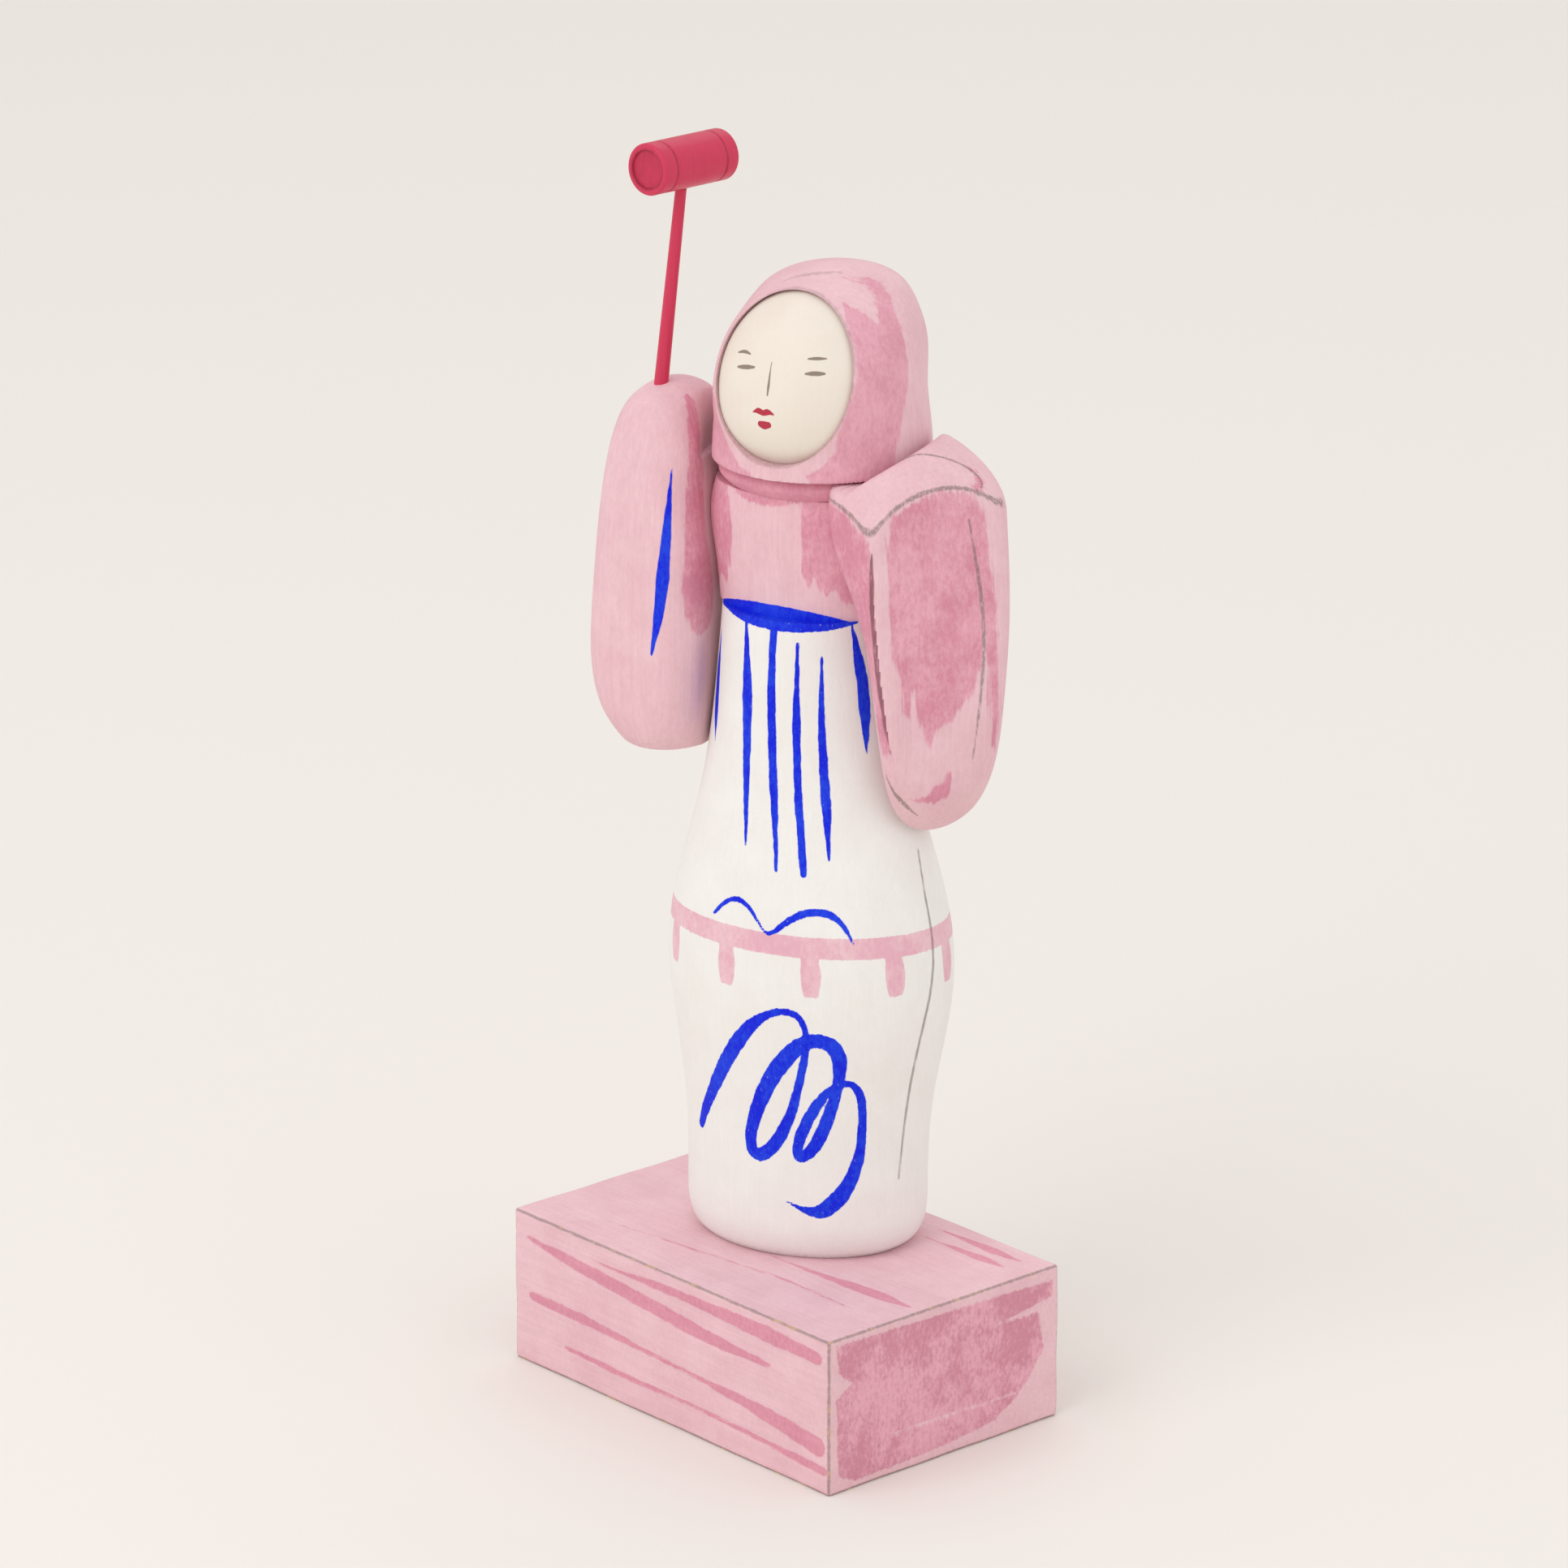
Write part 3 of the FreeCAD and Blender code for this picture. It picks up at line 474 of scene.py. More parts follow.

# strokes: face, the stroke's points on it (along the block, then up or back), and its half widths
# endPatch and scrape: the wash of painted shade on the two short faces and a scrape in it, as (along the face, up)
block = {
    "size": (86.0, 55.4, 29.3), "edgeRound": 0.7, "counts": (120, 84, 48), "waver": 0.16, "ripple": (0.21, 0.33, 0.4),
    "flatBelow": 0.192, "edgeLine": 0.42, "strokeSpots": 24, "endDepth": 0.5, "otherFaces": 4.0,
    "strokes": [
        ("top", [(-29.7, -19.5), (-3.8, -16.2), (18, -13.8), (41, -14.6)], (0.1, 0.3, 0.3, 0.35, 0.1)),
        ("top", [(4.4, -8.2), (19.5, -7.6), (30.3, -6.5), (40, -6.2)], (0.05, 0.5, 1.3, 1.6, 0.4)),
        ("top", [(17.4, 18.6), (27.6, 19.0), (37.6, 19.4)], (0.1, 0.6, 1.2, 0.3)),
        ("top", [(15.5, 23.0), (26.3, 23.3), (37.2, 23.4)], (0.1, 0.7, 1.3, 0.3)),
        ("top", [(-36, 20.5), (-24, 19.8), (-12, 20.6)], (0.1, 0.9, 0.7, 0.1)),
        ("front", [(-39.1, 24.6), (-24.4, 23.2), (-7.4, 21.9), (9.4, 20.5), (27.4, 20.1)],
         (0.3, 1.2, 1.3, 1.5, 1.3, 0.4)),
        ("front", [(-21.8, 25.4), (1.1, 26.0), (21.7, 25.9), (39.9, 25.4)], (0.1, 0.7, 1.1, 1.6, 1.2)),
        ("front", [(-37.9, 13.3), (-20.2, 13.0), (1, 12), (21.7, 10.9), (40, 8.7)], (0.9, 1.0, 0.5, 0.5, 1.4, 1.9)),
        ("front", [(-28.5, 6.2), (-11.7, 5.8), (9.3, 5.8), (25.8, 5.2), (41.6, 4.6)], (0.4, 0.6, 0.4, 0.4, 0.6, 0.9)),
        ("back", [(-36, 22.5), (-14, 21.8), (8, 20.6), (26, 20.4)], (0.2, 1.2, 1.5, 0.9, 0.2)),
        ("back", [(-12, 13.8), (10, 12.9), (38, 11.5)], (0.1, 0.8, 1.3, 1.5)),
        ("back", [(-39, 7.0), (-16, 6.2), (12, 6.0), (34, 5.0)], (0.8, 0.9, 0.5, 0.2))],
    "endPatch": [
        (-25.9, 28.0), (-14.3, 27.7), (0.4, 27.4), (15.2, 27.0), (26.0, 26.6), (26.2, 23.6), (19, 22.6), (10.6, 21.6),
        (22.6, 21.4), (24.1, 14), (20, 8.8), (17, 6.1), (11.5, 3.2), (0.5, 2.1), (-14, 1.6), (-21.5, 1.5),
        (-25.4, 3.2), (-25.9, 17.9), (-22.2, 20.2), (-25.2, 22.6)],
    "scrape": [(-12.5, 0, 7.6), (0.5, 0, 7.6), (18.6, 0, 7.2)], "scrapeHalf": (0.2, 0.3, 0.1)}


def edgeSteps(half, rounding, count):
    # steps from -half to half, with a few close ones over the rounding at each end
    bend = half - rounding + rounding * np.tan(np.linspace(0, math.pi / 4, 6))
    return np.concatenate([-bend[::-1], np.linspace(-bend[0], bend[0], count)[1:-1], bend])


def boxGrid(size, rounding, counts):
    # grid over each face of a box, points kept at the rounding distance from an inner box, so edges are round:
    # clamp to the inner box + rounding * unit vector from it
    half = np.asarray(size) / 2
    spots, faces, start = [], [], 0
    for axis in range(3):
        across, up = (axis + 1) % 3, (axis + 2) % 3
        for sign in (-1, 1):
            u = edgeSteps(half[across], rounding, counts[across])
            v = edgeSteps(half[up], rounding, counts[up])
            grid = np.zeros((len(u), len(v), 3))
            grid[..., axis] = sign * half[axis]
            grid[..., across], grid[..., up] = np.meshgrid(u, v, indexing="ij")
            index = start + np.arange(len(u) * len(v)).reshape(len(u), len(v))
            quads = np.stack([index[:-1, :-1], index[1:, :-1], index[1:, 1:], index[:-1, 1:]], -1).reshape(-1, 4)
            faces += (quads if sign > 0 else quads[:, ::-1]).tolist()
            spots.append(grid.reshape(-1, 3))
            start += grid.shape[0] * grid.shape[1]
    spots = np.concatenate(spots)
    core = np.clip(spots, -(half - rounding), half - rounding)
    outward = spots - core
    return core + rounding * outward / np.linalg.norm(outward, axis=-1, keepdims=True), faces


def blockStrokes(spots):
    # field of the long strokes, each lifted from its face's plane into the block
    depth, height = block["size"][1] / 2, block["size"][2]
    lifts = {"top": lambda along, back: (along, back, height), "front": lambda along, up: (along, -depth, up),
             "back": lambda along, up: (-along, depth, up)}
    strokes = [([lifts[face](*point) for point in points], halfWidths, block["strokeSpots"])
               for face, points, halfWidths in block["strokes"]]
    return leastStroke(spots, strokes, alongPath)


def endWash(spots):
    # field of the painted shade wash on the short faces, less the scrape, and bare on the others
    x, y, z = spots.T
    along = np.where(x > 0, y, -y)
    scrape = strokeField(np.stack([along, 0 * y, z], -1), alongPath(block["scrape"], 12), block["scrapeHalf"])
    washed = np.maximum(patchField(along, z, block["endPatch"]), -scrape)
    return np.where(np.abs(x) > block["size"][0] / 2 - block["endDepth"], washed, block["otherFaces"])


def makeBlock():
    spots, faces = boxGrid(block["size"], block["edgeRound"], block["counts"])
    half = np.asarray(block["size"]) / 2
    # how near a spot lies to the closest edge: the second smallest distance to the three pairs of faces
    edge = np.sort(half - np.abs(spots), axis=-1)[:, 1]
    # the faces waver inwards near their edges, by slow sines
    alongSlow, acrossSlow, upSlow = block["ripple"]
    ripple = (np.sin(spots[:, 0] * alongSlow + 1) + np.sin(spots[:, 1] * acrossSlow + spots[:, 2] * upSlow)) / 2
    spots = spots * (1 - block["waver"] * (0.5 + 0.5 * ripple)[:, None] / half * (np.abs(spots) / half) ** 6)
    spots[:, 2] += half[2]
    # the base stays flat on what it stands on
    spots[:, 2] = np.where(spots[:, 2] < block["flatBelow"], np.minimum(spots[:, 2], 0.0), spots[:, 2])
    marks = {"strokes": blockStrokes(spots), "endShade": endWash(spots), "rim": edge - block["edgeLine"],
             "edge": edge}
    material = paintMaterial("blockPaint", {
        "endShade": dict(roseWash, paint="plumRose", ragged=0.35, soft=0.25, streak=0.3, cover=0.9, pools=1.1,
                        speckle=1.1),
        "strokes": dict(roseWash, thin="rose", ragged=0.25, soft=0.2, streak=0.3, cover=0.95, pools=0.4),
        "rim": dict(inkLineAndShade, ragged=0.14, soft=0.16, cover=0.85, strength=0.62)},
        grainTurn=(0.0, math.radians(90), 0.0), wear=0.5)
    newPiece("block", spots * millimetre, faces, "standing_doll", "base_block", material, marks)


makeBlock()
print("block made")

# table: levels as (height, width, depth, x, y); blueStrokes: (degrees from the front, height) points, half widths
# and spots along the stroke; scroll: the scroll's brush path as (degrees from the front, height, half width)
lowerBody = {
    "table": [
        (0, 39, 30, 0, 0), (1, 41.6, 32, 0.1, 0), (2, 43.0, 33.1, 0.2, 0), (4, 44.5, 34.3, 0.3, 0),
        (8, 45.3, 35, 0.4, 0), (16, 45.4, 35, 0.5, 0), (28, 47.2, 36, 0.7, 0), (40, 51.2, 38.4, 1, 0),
        (52, 53.8, 39.6, 1.1, 0), (66, 50.4, 37.4, 1, 0), (80, 42.4, 32.8, 0.9, 0), (100, 34.8, 29, 0.6, 0),
        (118, 31.2, 27, 0.5, 0)],
    "footRound": 2.0, "footRows": 7, "rows": 262, "columns": 300, "crowding": 0.42,
    "blueStrokes": [
        ([(-21, 117), (-17, 104), (-14.5, 90), (-10.8, 77)], (0.3, 1.2, 0.8, 0.25), 16),
        ([(1.5, 117), (0.5, 104), (3, 88), (6, 73.5)], (0.7, 0.8, 0.8, 0.3), 16),
        ([(17.5, 114.3), (16.5, 100), (17, 86), (18.8, 73.5)], (0.25, 0.75, 0.75, 0.65), 16),
        ([(33, 112), (31.5, 98), (31.5, 86), (31, 76)], (0.2, 0.7, 0.9, 0.2), 16),
        ([(-56, 113), (-54, 103), (-47, 93)], (0.1, 1.1, 1.2, 0.1), 12),
        ([(54, 118), (59, 110), (60.5, 102), (58.5, 94)], (0.1, 1.1, 1.2, 0.1), 12),
        ([(-23, 63.7), (-17, 66.4), (-10, 67.2), (-3, 65.2), (2.5, 62.4), (8, 63.4), (17, 66.2), (27, 66.8),
          (34, 65.3), (39.5, 61.2)], (0.3, 0.55, 0.2, 0.6, 0.75, 0.15), 40)],
    "scroll": [
        (-38.8, 21.9, 0.9), (-34.3, 25.2, 1.1), (-27.5, 29.5, 1.25), (-19.8, 34.6, 1.4), (-11.9, 39.8, 1.45),
        (-4.1, 44.3, 1.2), (3.3, 47.1, 0.8), (9.8, 48.2, 0.65), (15.4, 47.8, 0.65), (18.6, 46.0, 0.6),
        (19.8, 43.7, 0.6), (19.5, 40.5, 0.65), (18.3, 37.0, 0.75), (16.1, 32.0, 0.85), (12.6, 27.0, 1.05),
        (6.7, 22.3, 1.25), (-0.2, 19.7, 1.25), (-5.0, 20.5, 1.2), (-5.2, 24.1, 1.25), (-1.8, 28.6, 1.4),
        (3.1, 33.4, 1.55), (9.3, 38.0, 1.6), (15.8, 41.5, 1.5), (22.2, 43.1, 1.35), (28.7, 42.8, 1.4),
        (33.0, 40.8, 1.4), (34.6, 37.7, 1.2), (34.1, 34.4, 1.05), (32.7, 31.1, 1.1), (30.1, 27.2, 1.2),
        (26.2, 23.2, 1.2), (21.2, 20.6, 1.05), (17.6, 20.4, 0.9), (17.6, 22.6, 1.0), (19.8, 25.6, 1.1),
        (24.0, 29.4, 1.05), (28.7, 32.5, 0.85), (33.2, 34.3, 0.7), (38.7, 34.9, 0.65), (43.5, 33.5, 0.75),
        (46.5, 30.0, 0.75), (47.5, 25.4, 0.8), (46.8, 20.6, 1.0), (43.0, 16.0, 1.3), (36.9, 12.5, 1.55),
        (30.2, 10.3, 1.45), (24.3, 9.9, 0.9), (17.8, 10.6, 0.4), (11.7, 11.6, 0.12)], "scrollSpots": 200,
    "ledge": {"foot": 117.6, "sag": 1.3, "middle": 6, "halfTurn": 50, "slope": 0.3, "corner": 18},
    "beltTop": 62.4, "beltBottom": 58.6, "dropCount": 10, "dropTurn": -15.5, "dropLean": 0.8, "dropFoot": 51.4,
    "dropBelly": 55.0, "dropHalf": (1.6, 1.6, 1.9, 1.8, 1.5, 1.15),
    "sideLine": [([(85, 76), (81, 67), (80, 57), (75, 46), (72.5, 36), (72.5, 26), (71, 15)],
                  (0.2, 0.28, 0.3, 0.28, 0.2), 40)],
    "footShadowHeight": 0.9}


def solidRings(look, levelSteps, shares=(0.5, 0.85, 0.96, 0.99)):
    # level rings of an oval solid, with rings drawn in towards the middle over its flat ends, and their degrees
    angles = frontAngles(look["columns"], look["crowding"])[None, :]
    rings = ovalSpots(look["table"], angles, levelSteps[:, None])
    under, over = ([ring.mean(0) + share * (ring - ring.mean(0)) for share in order]
                   for ring, order in ((rings[0], shares), (rings[-1], shares[::-1])))
    return np.concatenate([under, rings, over]), np.degrees(angles)


def bodyPath(turns):
    # (degrees from the front, height) pairs laid on the lower body's skin
    turns = np.asarray(turns, float)
    return ovalSpots(lowerBody["table"], np.radians(turns[:, 0]), turns[:, 1])


def makeLowerBody():
    look, ledge = lowerBody, lowerBody["ledge"]
    # close levels over the rounded foot, then even ones
    footTurn = np.linspace(0, math.pi / 2, look["footRows"])[:-1]
    levelSteps = np.concatenate([look["footRound"] * (1 - np.cos(footTurn)),
                                 np.linspace(look["footRound"], levels["waist"], look["rows"])])
    rings, degrees = solidRings(look, levelSteps)
    height = rings[..., 2]

    def onBody(points, count):
        return alongPath(bodyPath(points), count)
    scroll = alongPath(look["scroll"], look["scrollSpots"])
    blue = np.minimum(leastStroke(rings, look["blueStrokes"], onBody),
                      strokeField(rings, bodyPath(scroll[:, :2]), scroll[:, 2]))
    # the ledge in front of the torso's foot: above a sagging line, between two slanting ends
    sag = ledge["sag"] * np.maximum(1 - ((degrees - ledge["middle"]) / ledge["halfTurn"]) ** 2, 0)
    blue = np.minimum(blue, np.maximum(ledge["foot"] - sag - height,
                                       np.abs(degrees) * ledge["slope"] - ledge["corner"]))
    # the belt, with drops under it that end at one level
    middle, thick = (look["beltTop"] + look["beltBottom"]) / 2, look["beltTop"] - look["beltBottom"]
    turns = look["dropTurn"] + 360 / look["dropCount"] * np.arange(look["dropCount"])
    drops = [([(turn, middle), (turn + look["dropLean"], look["dropBelly"]),
               (turn + look["dropLean"], look["dropFoot"])], look["dropHalf"], 10) for turn in turns]
    pink = np.minimum(np.abs(height - middle) - thick / 2,
                      np.maximum(leastStroke(rings, drops, onBody), look["dropFoot"] - height))
    # foot: a painted shadow, a soft grey darkening of the body's lowest 0.9 mm where it stands on the block
    marks = {"blue": blue, "pink": pink, "line": leastStroke(rings, look["sideLine"], onBody),
             "foot": height - look["footShadowHeight"]}
    material = paintMaterial("bodyPaint", {
        "pink": dict(plainLayer, paint="beltPink", thin="palePink", ragged=0.16, speckle=0.8, pools=0.9),
        "line": dict(inkLineAndShade, ragged=0.08, soft=0.14, cover=0.95, strength=0.7),
        "blue": dict(blueBrush, ragged=0.16, cover=0.95),
        "foot": dict(inkLineAndShade, ragged=0.8, soft=0.5, cover=0.5, strength=0.35)},
        thin="white", full="chalk", pools=0.5, speckle=0.3, lines=0.35, grain=0.02, bump=0.3)
    skinPiece("lowerBody", rings, "standing_doll", "lower_body", material, marks)


makeLowerBody()
print("lower body made")

# table: levels as (height, width, depth, x, y); patches on the front, painted shade beside the sleeves: corners
# as (x, height); the crescent, a painted shadow under the hood, is (middle, foot, curve)
torso = {
    "table": [(118, 33.4, 23, 0.5, 0.2), (127, 36, 24, 0.5, 0.6), (136, 37.6, 25.2, 0.5, 1.0),
              (139.6, 36, 25, 0.5, 1.4)],
    "rows": 120, "columns": 260, "crowding": 0.4,
    "leftPatch": [(4.6, 141), (5.3, 133), (4.7, 126.8), (6.0, 124), (7.2, 126), (9.0, 122.8), (10.6, 124.2),
                  (12.6, 120.8), (15, 122), (20, 121), (20, 141)],
    "rightPatch": [(-20, 141), (-11.8, 141), (-9.2, 133), (-10.4, 126), (-11.6, 121.8), (-13.4, 123.2),
                   (-14.6, 120.4), (-20, 121)],
    "crescent": (-2.5, 137.9, 0.03), "frontOf": 1, "sashRise": 2.2, "sashMiddle": -5, "sashHalfTurn": 52}
collar = {
    "table": [(139.6, 30, 25.4, 0.6, 1.2), (141.6, 34.8, 30.4, 0.7, 2.0), (143.6, 33.4, 29.4, 0.7, 2.4)],
    "rows": 26, "shelfRows": 6, "columns": 200, "crowding": 0.2}


def makeTorso():
    look = torso
    rings, degrees = solidRings(look, np.linspace(levels["waist"], levels["torsoTop"], look["rows"]))
    x, y, z = np.moveaxis(rings, -1, 0)
    # rose: painted shade on the front beside the sleeves, and a painted shadow crescent under the hood
    rose = np.minimum(patchField(x, z, look["leftPatch"]), patchField(x, z, look["rightPatch"]))
    middle, foot, curve = look["crescent"]
    rose = np.where(y < look["frontOf"], np.minimum(rose, foot + curve * (x - middle) ** 2 - z), markLimit)
    # the blue ledge below rises a little onto the torso, highest at the front
    across = (degrees - look["sashMiddle"]) / look["sashHalfTurn"]
    blue = z - levels["waist"] - look["sashRise"] * (1 - across ** 2)
    material = paintMaterial("robePaint", {"rose": dict(roseWash, soft=0.25, streak=0.1, cover=0.97),
                                           "blue": blueBrush})
    skinPiece("dollTorso", rings, "standing_doll", "torso", material, {"rose": rose, "blue": blue})


def blendRings(start, end, count):
    # rings evenly between two rings, leaving out both
    share = np.linspace(0, 1, count + 2)[1:-1, None, None]
    return start + share * (end - start)


def makeCollar():
    # an oval ring's profile as a loop: up its outside, in to the bore for the neck peg, down it and out again
    foot, top = levels["torsoTop"], levels["collarTop"]
    angles = frontAngles(collar["columns"], collar["crowding"])
    outer = ovalSpots(collar["table"], angles[None, :], np.linspace(foot, top, collar["rows"])[:, None])
    rims = turned([(neckLine["bore"], top), (neckLine["bore"], foot)], angles) + [neckLine["x"], neckLine["y"], 0.0]
    profile = np.concatenate([outer, blendRings(outer[-1], rims[0], collar["shelfRows"]), rims,
                              blendRings(rims[1], outer[0], collar["shelfRows"])])
    index = np.arange(profile[..., 0].size).reshape(profile.shape[:2])
    faces = gridQuads(np.pad(index, ((0, 1), (0, 1)), mode="wrap")).tolist()
    # the whole collar in rose and deep rose, a dark ring that gives painted shade under the chin
    material = paintMaterial("collarPaint", {}, thin="rose", full="deepRose", pools=0.8, speckle=0.8)
    newPiece("dollCollar", toFrame(profile.reshape(-1, 3)), faces, "standing_doll", "collar",
             material, {})


makeTorso()
makeCollar()
print("torso and collar made")

chestRight = chest["middle"] - chest["halfWidth"]
chestLeft = chest["middle"] + chest["halfWidth"]
# what the sleeves are fitted round: how far they are let in, their gap to the body, and the hood's turning circle
fitting = {"letIn": 0.5, "hangGap": 0.4, "swingRadius": 21.0, "swingFoot": 143.4}
# table: height above the waist, inner and outer side outside the torso, y of front and back
rightSleeve = {
    "table": [(-29, -1.1, 18.7, -15, 13), (-14, -1.7, 19.5, -15.4, 13.4), (4, -1.6, 18.8, -15, 13),
              (20, -0.7, 17.7, -13.5, 11.5), (40, 1.2, 15.2, -9.4, 7.4)],
    "corners": 6.5, "hem": 29, "egg": (chestRight - 7.6, -1.0, levels["waist"] + 2.5), "eggRadii": (16.5, 22.0, 35.3),
    "eggEdge": 2.0, "cutEdge": 0.8,
    "heart": (chestRight - 9.0, -1.0, levels["waist"] + 2.0), "radii": (10, 14, 34), "reach": 48.0, "steepest": 89.4,
    "rows": 260, "columns": 240, "crowding": 0.25,
    "blue": [([(-20.6, -11.5, 142), (-20.6, -13.9, 128.5), (-21.3, -14.8, 118), (-22.7, -15.3, 109)],
              (0.1, 0.8, 1.2, 0.9, 0.2), 24)],
    # rose: a painted shade stroke down the sleeve's inner side, where it meets the torso
    "rose": [([(-21.0, -5, 154), (-18, -7, 146), (-16.6, -9, 134), (-16, -9, 122), (-16.0, -8.5, 115)],
              (0.6, 1.7, 2.3, 3.2, 4.6, 3.6), 20)]}
# table: height above the waist, then how far outside the torso and y for the fold, ridge, elbow and back corners
# patches: painted shade on the front and outside walls, leaving a pale strip along the ridge as a painted highlight,
# as corners (distance from the ridge, height); lines: points on the skin, half widths, spots along them
leftSleeve = {
    "table": [(-38, 3.6, -11, 8.2, -14.8, 20, 1, 1.6, 9), (-16, 0.6, -12.8, 5.5, -17.2, 21.1, 2.2, -0.1, 12),
              (2, -2.3, -13.4, 3.6, -18, 21.3, 4.4, -1.3, 13), (20, -10.3, -13.4, 2, -17.2, 19.3, 7.5, -3.8, 12),
              (34, -16.3, -13, 1, -16.4, 17.7, 9.5, -6.3, 11)],
    "ridgeEdge": 2.0, "elbowEdge": 6.0, "backEdge": 2.4, "hemEdge": 1.5, "domeEdge": 0.9, "cutEdge": 2.2,
    "dome": (chestLeft - 5.35, 5.5, levels["waist"] + 5.8), "domeRadius": 27.0,
    "hem": (chestLeft + 3.6, 2.5, levels["waist"] - 7.0), "hemRadii": (16.8, 20.5, 32.0),
    "heart": (chestLeft + 9.5, -4.0, levels["waist"] - 2.0), "radii": (11, 14, 30), "reach": 48.0, "steepest": 89.4,
    "rows": 290, "columns": 290, "crowding": 0.2,
    "patches": [
        [(4.0, 139.8), (10, 142), (18.5, 147), (21.2, 142), (21.2, 128), (20.4, 116), (19.2, 112), (17.6, 107.5),
         (13.5, 103.5), (10.2, 101.5), (7.5, 98.5), (6.6, 103), (6.1, 109), (5.0, 103.5), (4.0, 105.5), (3.3, 118),
         (3.4, 130)],
        [(20.6, 143), (22.8, 138), (23.4, 120), (22.4, 106), (20.8, 96), (19.8, 97), (20.3, 106), (20.8, 114),
         (20.6, 128)],
        [(0.1, 145), (-18, 145), (-18, 121), (-14, 118), (-5, 110), (-2.8, 97), (-0.2, 99), (0.1, 121)]],
    # hemRose and domeRose: painted shade strokes by the hem's corner and on the dome's outer edge
    "hemRose": [([(26.5, -11.5, 88), (29, -10.2, 87.6), (31, -8.6, 90), (32, -7.2, 96.5)], (0.2, 0.8, 1.7, 0.1), 14)],
    "domeRose": [([(29.8, 4.0, 145.4), (32.3, 3.2, 143.3), (32.6, 1.2, 142.3)], (0.1, 0.9, 0.7), 10)],
    # a dry dark brush line of painted shade just inside the ridge
    "dry": [(0.7, 134), (-0.6, 132.5), (-1.4, 124), (-1.5, 108), (-0.9, 97), (-0.2, 96), (0.4, 110)],
    "lines": [([(32.8, -1, 139), (34.4, -1.2, 130), (35.3, -1.8, 120), (35.4, -3, 108), (35.0, -4.3, 96)],
               (0.15, 0.3, 0.34, 0.26, 0.1), 24),
              ([(23.1, -14, 92.8), (24.9, -12, 88.9), (26.6, -8.4, 84.8)], (0.1, 0.34, 0.5, 0.1), 12),
              ([(13.4, -12.2, 142.9), (15.4, -8.6, 143.8), (18.8, -7.4, 146.3), (21.8, -3.0, 148.3),
                (25.2, 0.4, 148.3), (28.8, 2.8, 146.3), (31.8, 3.7, 143.5), (33.0, 2.4, 142.0)],
               (0.15, 0.26, 0.2, 0.26, 0.26, 0.2), 40)],
    "foldHalf": 0.26, "foldFoot": 134, "foldBack": 6, "roseBelowFold": 0.5, "frontBack": 2, "frontIn": 9}


def clearOfDoll(spots):
    # how deep a spot lies in what the sleeves are fitted round: torso, collar, lower body and the hood's turn
    x, y, z = np.moveaxis(spots, -1, 0)
    inTorso, inCollar = (-ovalField(look["table"], spots) - fitting["letIn"] for look in (torso, collar))
    inBody = fitting["hangGap"] - ovalField(lowerBody["table"], spots)
    turning = fitting["swingRadius"] - np.hypot(x - neckLine["x"], y - neckLine["y"])
    turning = np.minimum(turning, z - fitting["swingFoot"])
    return np.maximum(np.maximum(inTorso, inCollar), np.maximum(inBody, turning))


def tableAt(table, z):
    # a sleeve's numbers at a height, through its table
    table = np.asarray(table, float)
    return smoothThrough(table[:, 0], table[:, 1:], z - levels["waist"])


def rightSleeveField(spots):
    # rounded box of changing size, inside an egg, outside the doll
    x, y, z = np.moveaxis(spots, -1, 0)
    look = rightSleeve
    inner, outer, front, back = np.moveaxis(tableAt(look["table"], z), -1, 0)
    rounding = look["corners"]
    aside = np.abs(x - (chestRight - (inner + outer) / 2)) - (outer - inner) / 2 + rounding
    along = np.abs(y - (front + back) / 2) - (back - front) / 2 + rounding
    box = np.hypot(np.maximum(aside, 0), np.maximum(along, 0)) + np.minimum(np.maximum(aside, along), 0) - rounding
    box = np.maximum(box, levels["waist"] - look["hem"] - z)
    form = roundMost(box, eggField(spots, look["egg"], look["eggRadii"]), look["eggEdge"])
    return roundMost(form, clearOfDoll(spots), look["cutEdge"])


def leftSleeveCorners(z):
    # the fold, ridge, elbow and back corners at each height
    numbers = tableAt(leftSleeve["table"], z)
    return [np.stack([chestLeft + numbers[..., 2 * k], numbers[..., 2 * k + 1]], -1) for k in range(4)]


def wallField(spots, start, end):
    # distance outwards from the upright wall through two corners
    away, run = spots[..., :2] - start, end - start
    return (away[..., 0] * run[..., 1] - away[..., 1] * run[..., 0]) / np.linalg.norm(run, axis=-1)


def leftSleeveWalls(spots):
    # four upright walls through the corners, creases rounded one by one
    fold, ridge, elbow, back = leftSleeveCorners(spots[..., 2])
    front = roundMost(wallField(spots, fold, ridge), wallField(spots, ridge, elbow), leftSleeve["ridgeEdge"])
    outside = roundMost(front, wallField(spots, elbow, back), leftSleeve["elbowEdge"])
    return roundMost(outside, wallField(spots, back, fold), leftSleeve["backEdge"])


def leftSleeveDome(spots):
    # the ball over the shoulder, going down as an upright cylinder
    x, y, z = np.moveaxis(spots - np.asarray(leftSleeve["dome"]), -1, 0)
    return np.sqrt(x ** 2 + y ** 2 + np.maximum(z, 0) ** 2) - leftSleeve["domeRadius"]


def leftSleeveField(spots):
    # walls inside an egg that goes on upwards as an oval cylinder, inside the dome, outside the doll
    look = leftSleeve
    below = np.concatenate([spots[..., :2], np.minimum(spots[..., 2:], look["hem"][2])], -1)
    walls = roundMost(leftSleeveWalls(spots), eggField(below, look["hem"], look["hemRadii"]), look["hemEdge"])
    form = roundMost(walls, leftSleeveDome(spots), look["domeEdge"])
    return roundMost(form, clearOfDoll(spots), look["cutEdge"])


